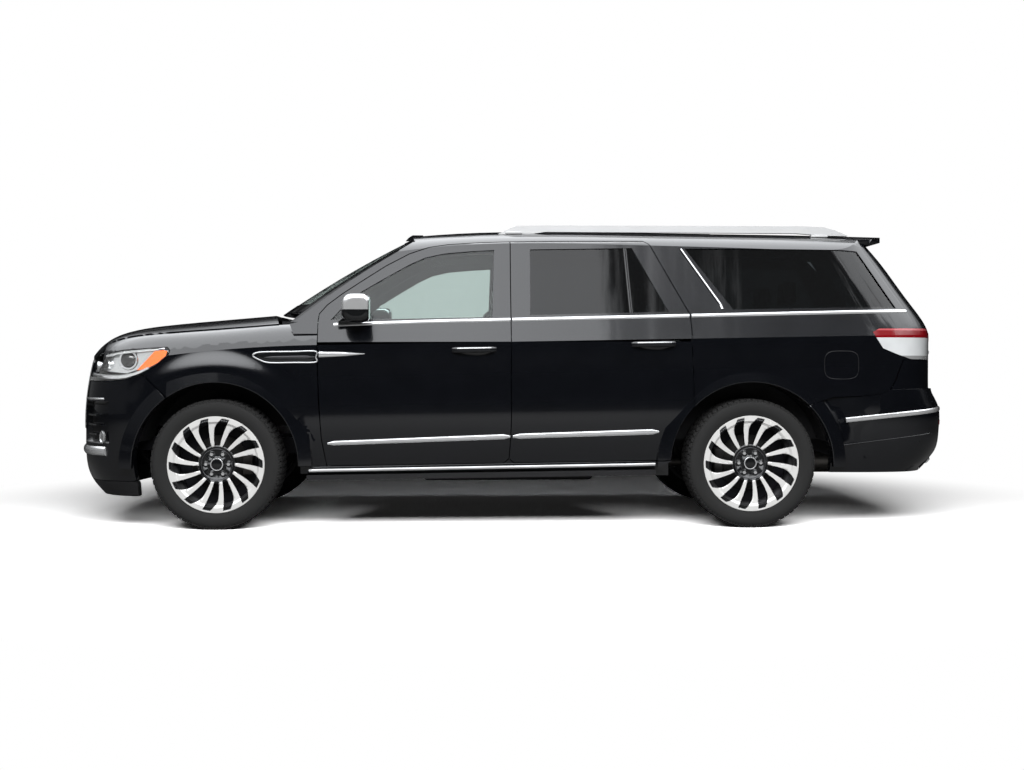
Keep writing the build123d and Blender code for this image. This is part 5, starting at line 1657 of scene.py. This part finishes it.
@dataclass
class TailEnd:
    """Tail lamps in bands, bumper trim, exhaust tips, liftgate trim, wiper and the pillars' bright lines."""

    bands: tuple[float, ...] = (1.083, 1.197, 1.243)
    strip_top: Line = ((3.934, 0.694), (4.250, 0.726), (4.560, 0.754))
    strip_foot: Line = ((3.934, 0.662), (4.250, 0.694), (4.560, 0.726))

    def build(self, nodes: dict[str, Object]) -> None:
        """Make the pieces of the tail."""
        self._lamps(nodes["tail_lamps"])
        self._bumper()
        self._gate()
        self._pillar_accents()

    def _lamps(self, source: Object) -> None:
        """Tail lamps: pale rim, red band, clear band and a bright foot.

        Args:
            source: the CAD lamps that they replace.
        """
        shell = welded(source.data)
        panels = SmoothPanels()
        panels.classify(shell, (Guide.SIDE,), 0.012)
        for z in self.bands:
            slice_all(shell, 2, z)
        low, high = (corner.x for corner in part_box(source.name))
        for i in range(1, 10):
            slice_all(shell, 0, low + (high - low) * i / 10)
        for face in shell.faces:
            face.material_index = sum(face.calc_center_median().z > z for z in self.bands)
        obj = freed("tail_lamp_lenses", shell)
        for finish in (CHROME, WHITE_LENS, RED_LENS, PINK_LENS):
            obj.data.materials.append(finish.material())
        panels.smooth(obj.data, (Guide.SIDE,))
        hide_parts(source.name)
        settle(obj, "root", RED_LENS)

    def _bumper(self) -> None:
        """Bright strip and crease round each corner, sensors, reflectors, exhaust tips, skirts and step pad."""
        back = on_end("rear")
        for side, word in SIDES:
            place = on_side(side, "rear")
            path = [place(x, (between(self.strip_top, x) + between(self.strip_foot, x)) / 2, 0.001)
                    for x in np.linspace(3.934, 4.545, 34)]
            path += [back(side * y, 0.742, 0.001) for y in (0.86, 0.80, 0.74, 0.68)]
            settle(tube("rear_bumper_strip_" + word, path, 0.0085, CHROME, 10, 1.8), "root", CHROME)
            path = [place(float(x), 0.513 + (x - 3.860) * 0.1226, 0.0006) for x in np.linspace(3.864, 4.488, 26)]
            settle(tube("rear_bumper_crease_" + word, path, 0.0024, PAINT, 8), "root", PAINT)
            settle(patch("rear_sensor_" + word, disc(4.430, 0.539, 0.013), place, -0.0012, 0.002, GLOSS_BLACK, 2),
                   "root", GLOSS_BLACK)
            # Red reflector on the bumper's end; its red lens finish glows faintly, which here is a painted glow,
            # since a reflector is no lamp.
            outline = ((side * 0.56, 0.640), (side * 0.80, 0.640), (side * 0.82, 0.668), (side * 0.56, 0.668))
            settle(patch("rear_reflector_" + word, outline, back, -0.003, 0.006, RED_LENS), "root", RED_LENS)
            tip = tube("tip", [back(side * y, 0.405, 0.012) for y in np.linspace(0.44, 0.66, 8)], 0.030, CHROME, 20,
                       0.9)
            hole = tube("hole", [back(side * y, 0.405, -0.0125) for y in np.linspace(0.47, 0.63, 8)], 0.016,
                        SATIN_BLACK, 16, 0.9)
            settle(join("exhaust_trim_" + word, [tip, hole]), "root", CHROME)
        skirts = [patch("skirt", ((side * 0.78, 0.352), (side * 0.14, 0.352), (side * 0.14, 0.480),
                                  (side * 0.70, 0.480)), back, -0.003, 0.005, MOULDED) for side in (LEFT, RIGHT)]
        settle(join("rear_bumper_skirt", skirts), "root", MOULDED)
        step = patch("rear_step_pad", ((-0.62, 0.700), (0.62, 0.700), (0.60, 0.742), (-0.60, 0.742)), back, -0.0070,
                     0.009, MOULDED)
        settle(step, "root", MOULDED)

    def _gate(self) -> None:
        """Plate recess and its lamps, handle bar, lamp bar, wiper and stop lamp of the liftgate."""
        place = on_end("side")
        bed = patch("plate_recess_lining", ((-0.278, 0.931), (0.278, 0.931), (0.278, 1.079), (-0.278, 1.079)),
                    place, 0.0185, 0.003, SATIN_BLACK)
        settle(bed, "liftgate", SATIN_BLACK)
        bar = tube("gate_bar", [place(y, 1.106, -0.004) for y in np.linspace(-0.66, 0.66, 45)], 0.011, CHROME,
                   squash=1.5)
        settle(bar, "liftgate", CHROME)
        for side, word in SIDES:
            y = side * 0.15
            lamp = rounded_box("plate_lamp_" + word, (place(y, 1.078, 0.018)[0] - 0.004, y - 0.030, 1.0705),
                               (place(y, 1.078, 0.002)[0], y + 0.030, 1.0790), 0.002, WHITE_LENS)
            settle(lamp, "liftgate", WHITE_LENS)
        lens = patch("gate_lamp_bar", ((-0.722, 1.176), (0.722, 1.176), (0.722, 1.232), (-0.722, 1.232)), place,
                     -0.0035, 0.006, RED_LENS, 16)
        settle(lens, "liftgate", RED_LENS)
        arm = tube("rear_wiper", [place(y, 1.372 + 0.030 * math.sin(math.pi * (y + 0.02) / 0.46), -0.012)
                                  for y in np.linspace(-0.02, 0.42, 16)], 0.007, SATIN_BLACK, 8, 0.8)
        x = place(0, 1.345, -0.024)[0]
        pivot = rounded_box("pivot", (x - 0.03, -0.045, 1.318), (x + 0.004, 0.035, 1.368), 0.012, SATIN_BLACK)
        settle(join("rear_wiper", [arm, pivot]), "liftgate", SATIN_BLACK)
        stop = rounded_box("high_stop_lamp", (station(4.2985), -0.20, 1.8420), (station(4.3145), 0.20, 1.8520),
                           0.003, RED_LENS)
        settle(stop, "liftgate", RED_LENS)

    def _pillar_accents(self) -> None:
        """Bright line down the pillar ahead of the quarter window, and the fender's painted corner piece."""
        for side, word in SIDES:
            place = on_side(side)
            line = ((2.925, 1.765), (3.040, 1.586), (3.154, 1.410), (3.166, 1.376))
            path = []
            for (x0, z0), (x1, z1) in zip(line, line[1:]):
                path += [place(x0 + (x1 - x0) * t, z0 + (z1 - z0) * t, -0.0015) for t in (0.0, 0.34, 0.67)]
            path.append(place(*line[-1], -0.0015))
            settle(tube("pillar_accent_" + word, path, 0.0120, CHROME, 10, 0.5), "root", CHROME)
            corners = ((0.455, 1.2795), (0.480, 1.2180), (0.628, 1.2180), (0.628, 1.3000), (0.540, 1.3000))
            filler = patch("fender_corner_" + word, corners, place, -0.0012, 0.004, PAINT)
            settle(filler, "root", PAINT)


# ------------------------------------------------------------------ cabin
@dataclass(frozen=True)
class Pad:
    """One padded block of a seat: its section as (station, height) corners, its middle and half-width."""

    name: str
    section: Line
    middle: float
    half: float
    swell: float = 0.016

    @property
    def broad(self) -> bool:
        """True for a cushion or a back, false for a head restraint."""
        return self.half > 0.2


@dataclass
class Seats:
    """All the cushions, backs and head restraints, blown up by a short cloth simulation."""

    inset: float = 0.012
    voxels: dict[str, float] = field(default_factory=lambda: {"quick": 0.014, "broad": 0.010, "head": 0.006})
    pressure: float = 4.0
    frames: int = 20
    cap: float = 0.016
    cushion: Line = ((0.012, 0.812), (0.488, 0.812), (0.488, 0.902), (0.300, 0.908), (0.110, 0.922), (0.030, 0.914),
                     (0.008, 0.880))
    back: Line = ((0.418, 0.925), (0.545, 0.912), (0.654, 1.352), (0.630, 1.384), (0.594, 1.384), (0.560, 1.350))
    rest: Line = ((0.614, 1.437), (0.690, 1.432), (0.698, 1.500), (0.690, 1.572), (0.650, 1.580), (0.616, 1.566))
    channels: tuple[float, ...] = (0.24, 0.40, 0.56, 0.72, 0.88)
    channel_depth: float = 0.009
    panel: float = 0.62

    def build(self) -> None:
        """Make each seat of the three rows and hide the plain blocks under them."""
        self._seat("front_seats", "front", 1.120, (-0.400, 0.400), 0.270, (0.0,))
        self._seat("second_row_seats", "second", 2.120, (-0.400, 0.400), 0.270, (0.0,))
        self._seat("third_row_seat", "third", 3.060, (0.0,), 0.590, (-0.370, 0.370))

    def _seat(self, node: str, row: str, x: float, middles: tuple[float, ...], half: float,
              heads: tuple[float, ...]) -> None:
        """Make one row: a cushion and back for each place, and its head restraints.

        Args:
            node: CAD node of the row.
            row: word in the names of the pieces.
            x: front edge of the cushion.
            middles: middle of each seat.
            half: half the width of each seat.
            heads: places of the head restraints from each seat's middle.
        """
        for index, middle in enumerate(middles):
            word = row + "_" + (("left", "right")[index] if len(middles) > 1 else "bench")
            for part, section in (("_cushion", self.cushion), ("_back", self.back)):
                self._padded(Pad(word + part, shifted(section, x), middle, half - self.inset))
            plinth = rounded_box(word + "_base", (station(x + 0.062), middle - half + 0.05, 0.632),
                                 (station(x + 0.438), middle + half - 0.05, 0.811), 0.02, CABIN_BLACK)
            settle(plinth, "root", CABIN_BLACK)
            seams = self._seams(word, x, middle, half)
            settle(seams, "root", STITCH)
            for number, offset in enumerate(heads):
                self._padded(Pad("%s_head_%d" % (word, number), shifted(self.rest, x), middle + offset,
                                             0.113, 0.008))
                posts = [tube("post", [(station(x + 0.645), middle + offset + shift, 1.36),
                                       (station(x + 0.655), middle + offset + shift, 1.47)], 0.006, CHROME, 10)
                         for shift in (-0.055, 0.055)]
                settle(join("%s_posts_%d" % (word, number), posts), "root", CHROME)
        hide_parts(node)

    def _padded(self, pad: Pad) -> Object:
        """Blow one pad up from its section.

        Args:
            pad: its shape.

        Returns:
            The finished piece.
        """
        shell = bmesh.new()
        ring = closed_curve(pad.section, 2)
        verts = [shell.verts.new((station(x), y, z))
                 for y in (pad.middle - pad.half + self.inset * 0.5, pad.middle + pad.half - self.inset * 0.5)
                 for x, z in ring]
        for corners in ring_faces(2, len(ring)):
            shell.faces.new([verts[i] for i in corners])
        bmesh.ops.recalc_face_normals(shell, faces=shell.faces)
        bmesh.ops.bevel(shell, geom=list(shell.edges), offset=0.012, segments=2, profile=0.5, affect="EDGES",
                        clamp_overlap=True)
        obj = freed(pad.name, shell)
        remesh = obj.modifiers.new("even", "REMESH")
        remesh.mode = "VOXEL"
        remesh.voxel_size = self.voxels[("broad" if pad.broad else "head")]
        apply_modifiers(obj)
        before = column(obj.data.vertices, "co", 3)
        cloth = obj.modifiers.new("air", "CLOTH")
        cloth.settings.use_pressure = True
        cloth.settings.uniform_pressure_force = self.pressure
        cloth.settings.effector_weights.gravity = 0.0
        cloth.settings.quality = 4
        scene = bpy.context.scene
        for frame in range(1, self.frames + 1):
            scene.frame_set(frame)
        apply_modifiers(obj)
        scene.frame_set(1)
        move = column(obj.data.vertices, "co", 3) - before
        far = np.linalg.norm(move, axis=1, keepdims=True)
        move *= np.minimum(1.0, min(self.cap, pad.swell) / np.maximum(far, 1e-9))
        obj.data.vertices.foreach_set("co", (before + move + self._dents(pad, before)).ravel())
        smooth = obj.modifiers.new("even_out", "SMOOTH")
        smooth.factor, smooth.iterations = 0.5, 6
        if not pad.broad:
            finer = obj.modifiers.new("finer", "SUBSURF")
            finer.levels = finer.render_levels = 1
        apply_modifiers(obj)
        obj.data.materials.clear()
        obj.data.materials.append(LEATHER.material())
        obj.data.polygons.foreach_set("use_smooth", [True] * len(obj.data.polygons))
        settle(obj, "root", LEATHER)
        return obj

    def _dents(self, pad: Pad, points: np.ndarray) -> np.ndarray:
        """Sewn channels: the face sinks along lines across and beside the middle panel.

        Args:
            pad: the pad.
            points: its corners.

        Returns:
            How far each corner moves.
        """
        shift = np.zeros_like(points)
        if not pad.broad:
            return shift
        across = np.abs(points[:, 1] - pad.middle)
        groove = np.exp(-((across - pad.half * self.panel) / 0.012) ** 2)
        along = points[:, 0] + MID_STATION if "cushion" in pad.name else points[:, 2]
        low, high = along.min(), along.max()
        panel = across < pad.half * self.panel
        for share in self.channels:
            spot = low + (high - low) * share
            groove = np.maximum(groove, np.exp(-((along - spot) / 0.009) ** 2) * panel * 0.8)
        if "cushion" in pad.name:
            top = points[:, 2] > points[:, 2].max() - 0.05
            shift[:, 2] -= self.channel_depth * groove * top
        else:
            slope = (points[:, 2] - 0.92) * 0.30
            face = (points[:, 0] + MID_STATION) < (points[:, 0] + MID_STATION).min() + slope + 0.06
            shift[:, 0] += self.channel_depth * groove * face
        return shift

    @staticmethod
    def _seams(word: str, x: float, middle: float, half: float) -> Object:
        """Piping along both edges of the cushion and the back.

        Args:
            word: first part of its name.
            x: front edge of the cushion.
            middle: middle of the seat.
            half: half its width.

        Returns:
            The new object.
        """
        bars = []
        for side in (-1, 1):
            y = middle + side * (half - 0.026)
            bars.append(tube("piping", [(station(x + 0.06), y, 0.926), (station(x + 0.20), y, 0.924),
                                        (station(x + 0.40), y, 0.914)], 0.0028, STITCH, 6))
            bars.append(tube("piping", [(station(x + 0.452), y, 0.98), (station(x + 0.505), y, 1.16),
                                        (station(x + 0.560), y, 1.34)], 0.0028, STITCH, 6))
        return join(word + "_piping", bars)


@dataclass
class Cabin:
    """Fascia screens, inlays, vents, wheel grip, door cards and console trim."""

    card_top: float = 1.245
    card_foot: float = 0.66
    wheel_centre: Point = (1.010, -0.400, 1.130)
    wheel_radius: float = 0.180

    def build(self) -> None:
        """Dress the cabin."""
        self._fascia()
        self._console()
        self._steering_wheel()
        for side, word in SIDES:
            self._card("front_door_" + word, side, 0.83, 1.82)
            self._card("rear_door_" + word, side, 1.98, 2.84)

    def _fascia(self) -> None:
        """Screens, wood inlay, bright line and vents on the board."""
        for name, back, left, foot, front, right, top, radius, finish in (
                ("centre_screen", 0.836, -0.165, 1.150, 0.858, 0.175, 1.285, 0.008, SCREEN),
                ("instrument_screen", 0.866, -0.545, 1.166, 0.8865, -0.255, 1.215, 0.006, SCREEN),
                ("fascia_inlay", 0.880, -0.715, 1.072, 0.8985, 0.715, 1.088, 0.004, WOOD),
                ("fascia_bright_line", 0.885, -0.720, 1.0905, 0.8975, 0.720, 1.0945, 0.0015, CHROME)):
            settle(rounded_box(name, (station(back), left, foot), (station(front), right, top), radius, finish),
                   "root", finish)
        for number, y in enumerate((-0.66, -0.17, 0.17, 0.66)):
            slats = [rounded_box("slat", (station(0.868), y - 0.065, 1.106 + i * 0.012),
                                 (station(0.8885 - i * 0.0028), y + 0.065, 1.112 + i * 0.012), 0.002, SATIN_BLACK)
                     for i in range(4)]
            settle(join("fascia_vent_%d" % number, slats), "root", SATIN_BLACK)

    def _console(self) -> None:
        """Arm-rest pad, cup rings and inlay on the console."""
        pad = rounded_box("console_armrest", (station(1.245), -0.112, 0.897), (station(1.520), 0.112, 0.926), 0.012,
                          LEATHER, 4)
        settle(pad, "root", LEATHER)
        cups = []
        for y in (-0.052, 0.052):
            ring = [(station(1.100) + 0.040 * math.cos(a), y + 0.040 * math.sin(a), 0.869)
                    for a in np.linspace(0, 2 * math.pi, 29)]
            cups.append(tube("cup", ring, 0.004, CHROME, 8))
        settle(join("console_cup_rings", cups), "root", CHROME)
        inlay = rounded_box("console_inlay", (station(0.965), -0.095, 0.862), (station(1.195), 0.095, 0.868), 0.002,
                            WOOD)
        settle(inlay, "root", WOOD)

    def _steering_wheel(self) -> None:
        """Leather grip over the rim."""
        x, y, z = self.wheel_centre
        centre, lean = Vector((station(x), y, z)), math.atan2(0.34, 0.94)
        across, up = Vector((0, 1, 0)), Vector((-math.sin(lean), 0, math.cos(lean)))
        ring = [tuple(centre + across * (self.wheel_radius * math.cos(a)) + up * (self.wheel_radius * math.sin(a)))
                for a in np.linspace(0, 2 * math.pi, 73)]
        settle(tube("steering_grip", ring, 0.0165, LEATHER, 14), "steering_wheel", LEATHER)

    def _card(self, body: str, side: int, front: float, back: float) -> None:
        """Door card: moulded panel, arm rest and inlay, inside one door.

        Args:
            body: the door's body.
            side: LEFT or RIGHT.
            front: station of its front edge.
            back: station of its back edge.
        """
        place = on_side(side)
        outline = closed_curve(((front, self.card_foot), (back, self.card_foot), (back, self.card_top),
                                (front, self.card_top - 0.01)), 2)
        settle(patch(body + "_card", outline, place, 0.1105, 0.006, CABIN_BLACK, 10), body, CABIN_BLACK)
        rest = [place(float(x), 0.985, 0.136) for x in np.linspace(front + 0.12, back - 0.10, 12)]
        settle(tube(body + "_armrest", rest, 0.020, LEATHER, 14, 1.1), body, LEATHER)
        line = [place(float(x), 1.120, 0.1165) for x in np.linspace(front + 0.06, back - 0.06, 14)]
        settle(tube(body + "_card_inlay", line, 0.0045, WOOD, 8, 2.4), body, WOOD)


# ------------------------------------------------------------------ stage
@dataclass
class Stage:
    """Floor, light and camera."""

    place: Point = (-0.290, -8.994, 1.038)
    yaw: float = -0.0330
    pitch: float = -0.0173
    lens: float = 45.19
    floor_reach: float = 60.0
    floor_tone: float = 2.1
    floor_fade: Pair = (3.0, 4.6)
    key_place: Point = (0.0, -7.4, 5.0)
    key_size: Pair = (9.0, 3.0)
    key_watts: float = 1150.0

    sky: Line = ((0.0, 0.020), (0.42, 0.030), (0.58, 0.16), (0.74, 0.72), (0.86, 0.92), (1.0, 1.0))
    mirror_strength: float = 3.4
    tree_heading: float = 0.30
    tree_lean: float = 1.00
    tree_drop: float = 1.20
    tree_edge: Pair = (-0.50, -0.41)

    def build(self) -> None:
        """Set up everything that isn't the car."""
        self._floor()
        self._world()
        self._lamps()
        self._camera()
        view = bpy.context.scene.view_settings
        view.view_transform = "Standard"

    def _floor(self) -> None:
        """Pale floor that keeps the car's shade near it and shows white farther out."""
        mesh = bpy.data.meshes.new("floor")
        reach = self.floor_reach
        mesh.from_pydata([(-reach, -reach, 0), (reach, -reach, 0), (reach, reach, 0), (-reach, reach, 0)], [],
                         [(0, 1, 2, 3)])
        floor = new_object("floor", mesh)
        material = bpy.data.materials.new("pale_floor")
        material.use_nodes = True
        material.node_tree.nodes.clear()
        wires = Wiring(material.node_tree)
        path = wires.add("ShaderNodeLightPath")
        seen = wires.seen(path)
        lit = wires.maths("MULTIPLY_ADD", path.outputs["Is Glossy Ray"], 0.03, seen)
        tone = wires.add("ShaderNodeMix", {"A": (0.12, 0.12, 0.12, 1.0), "B": (*[self.floor_tone] * 3, 1.0),
                                           "Factor": lit}, data_type="RGBA")
        matt = wires.add("ShaderNodeBsdfDiffuse", {"Color": tone.outputs["Result"]})
        place = wires.add("ShaderNodeTexCoord").outputs["Object"]
        away = wires.add("ShaderNodeVectorMath", {0: place}, operation="LENGTH").outputs["Value"]
        near, far = self.floor_fade
        fade = wires.add("ShaderNodeMapRange", {"From Min": near, "From Max": far, "Value": away},
                         interpolation_type="SMOOTHSTEP")
        white = wires.add("ShaderNodeEmission")
        both = wires.add("ShaderNodeMixShader", {0: wires.maths("MULTIPLY", fade.outputs["Result"], seen),
                                                 1: matt.outputs[0], 2: white.outputs[0]})
        wires.add("ShaderNodeOutputMaterial", {"Surface": both.outputs[0]})
        mesh.materials.append(material)

    def _world(self) -> None:
        """Sky: white to the camera, a weak dome for the light, and trees under a bright sky in reflections."""
        world = bpy.data.worlds.new("studio")
        bpy.context.scene.world = world
        world.use_nodes = True
        world.node_tree.nodes.clear()
        wires = Wiring(world.node_tree)
        path = wires.add("ShaderNodeLightPath")
        ray = wires.add("ShaderNodeTexCoord").outputs["Generated"]
        split = wires.add("ShaderNodeSeparateXYZ", {0: ray}).outputs
        mirror = wires.add("ShaderNodeBackground", {
            "Color": self._cloud(wires, ray, split["Z"]),
            "Strength": wires.maths("MULTIPLY", self._trees(wires, ray, split), self.mirror_strength)})
        dome = wires.add("ShaderNodeMapRange", {"From Min": 0.05, "From Max": 0.40, "To Min": 0.15, "To Max": 0.005,
                                                "Value": split["Z"]})
        plain = wires.add("ShaderNodeBackground", {"Color": (1.0, 1.0, 1.0, 1.0),
                                                   "Strength": dome.outputs["Result"]})
        white = wires.add("ShaderNodeBackground", {"Color": (1.0, 1.0, 1.0, 1.0), "Strength": 1.0})
        gloss = wires.add("ShaderNodeMixShader", {0: path.outputs["Is Glossy Ray"], 1: plain.outputs[0],
                                                  2: mirror.outputs[0]})
        final = wires.add("ShaderNodeMixShader", {0: wires.seen(path), 1: gloss.outputs[0], 2: white.outputs[0]})
        wires.add("ShaderNodeOutputWorld", {"Surface": final.outputs[0]})

    def _cloud(self, wires: Wiring, ray: Socket, height: Socket) -> Socket:
        """Tone of the sky in reflections: dim near the horizon, bright overhead, with a soft uneven edge.

        Args:
            wires: node tree of the world.
            ray: direction looked in.
            height: its upward part.

        Returns:
            The colour.
        """
        wide = wires.add("ShaderNodeMapping", {"Scale": (3.4, 3.4, 11.0), "Vector": ray}).outputs["Vector"]
        noise = wires.add("ShaderNodeTexNoise", {"Scale": 1.6, "Detail": 4.0, "Vector": wide}).outputs["Fac"]
        ramp = wires.add("ShaderNodeValToRGB", {"Fac": wires.maths("MULTIPLY_ADD", noise, 0.22, height)})
        elements = ramp.color_ramp.elements
        while len(elements) < len(self.sky):
            elements.new(0.5)
        for element, (spot, tone) in zip(elements, self.sky):
            element.position = spot
            element.color = (tone * 0.97, tone * 0.99, tone * 1.02, 1.0)
        return ramp.outputs["Color"]

    def _trees(self, wires: Wiring, ray: Socket, split: bpy.types.bpy_prop_collection) -> Socket:
        """Dark tree crowns against the sky in reflections.

        Args:
            wires: node tree of the world.
            ray: direction looked in.
            split: its X, Y and Z parts.

        Returns:
            Share of the sky's light that passes them.
        """
        leaves = wires.add("ShaderNodeTexNoise", {"Scale": 7.5, "Detail": 8.0, "Roughness": 0.62, "Vector": ray})
        spread = wires.maths("ABSOLUTE", wires.maths("SUBTRACT", split["X"], self.tree_heading))
        height = wires.maths("MULTIPLY_ADD", split["Z"], -self.tree_drop, leaves.outputs["Fac"])
        lean = wires.maths("MULTIPLY_ADD", spread, -self.tree_lean, height)
        low, high = self.tree_edge
        crowns = wires.add("ShaderNodeMapRange", {"From Min": low, "From Max": high, "To Min": 1.0, "To Max": 0.07,
                                                  "Value": lean}, interpolation_type="SMOOTHSTEP")
        return crowns.outputs["Result"]

    def _lamps(self) -> None:
        """One broad soft lamp high on the camera's side, whose shade falls under and behind the car."""
        lamp = bpy.data.lights.new("key_softbox", "AREA")
        lamp.shape = "RECTANGLE"
        lamp.size, lamp.size_y = self.key_size
        lamp.energy = self.key_watts
        obj = bpy.data.objects.new("key_softbox", lamp)
        obj.location = self.key_place
        obj.rotation_euler = (math.atan2(-self.key_place[1], self.key_place[2]), 0.0, 0.0)
        obj.visible_glossy = False
        bpy.context.scene.collection.objects.link(obj)

    def _camera(self) -> None:
        """Camera level with the car, a little left of its middle."""
        camera = bpy.data.cameras.new("camera")
        camera.lens, camera.sensor_width = self.lens, 36.0
        obj = bpy.data.objects.new("camera", camera)
        obj.location = self.place
        obj.rotation_euler = (math.pi / 2 + self.pitch, 0.0, self.yaw)
        bpy.context.scene.collection.objects.link(obj)
        bpy.context.scene.camera = obj


# ------------------------------------------------------------------ assembly
def dress_nodes(nodes: dict[str, Object], finishes: dict[str, Finish]) -> None:
    """Give each CAD node that stays its finish.

    Args:
        nodes: the frame's nodes.
        finishes: what each is made of.
    """
    for node, finish in finishes.items():
        mesh = nodes[node].data
        mesh.materials.clear()
        mesh.materials.append(finish.material())
        LOG.info("node %s wears %s", node, finish.name)


PLAIN_NODES = {
    "ladder_frame": FRAME_PAINT, "body_floor": CARPET, "radiator_grille": CHROME, "headlamps": LENS,
    "cowl": MOULDED, "tail_lamps": RED_LENS, "running_boards": MOULDED, "roof_rails": RAIL,
    "roof_antenna": GLOSS_BLACK, "dashboard": CABIN_BLACK, "front_seats": LEATHER, "second_row_seats": LEATHER,
    "third_row_seat": LEATHER, "engine_block": ALUMINIUM, "fuel_tank": MOULDED, "exhaust_system": STEEL,
    "front_suspension": FRAME_PAINT, "rear_axle": CAST_IRON, "rear_suspension": FRAME_PAINT,
    "wheel_arch_liners": MOULDED, "steering_wheel": CABIN_BLACK, "steering_knuckle_left": CAST_IRON,
    "steering_knuckle_right": CAST_IRON, "door_mirror_left": PAINT, "door_mirror_right": PAINT,
    "front_tyre_left": RUBBER, "front_tyre_right": RUBBER, "rear_tyre_left": RUBBER, "rear_tyre_right": RUBBER,
    "front_rim_left": POCKET, "front_rim_right": POCKET, "rear_rim_left": POCKET, "rear_rim_right": POCKET,
}


def main() -> None:
    """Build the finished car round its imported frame."""
    logging.basicConfig(level=logging.INFO, format="%(name)s: %(message)s")
    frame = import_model()
    nodes = frame["nodes"]
    Stage().build()
    dress_nodes(nodes, PLAIN_NODES)
    SmoothPanels().build(nodes)
    SideTrim().build()
    Wheels().build(nodes)
    FrontEnd().build(nodes)
    Mirrors().build(nodes)
    RoofTrim().build()
    TailEnd().build(nodes)
    Seats().build()
    Cabin().build()


if __name__ == "__main__":
    main()
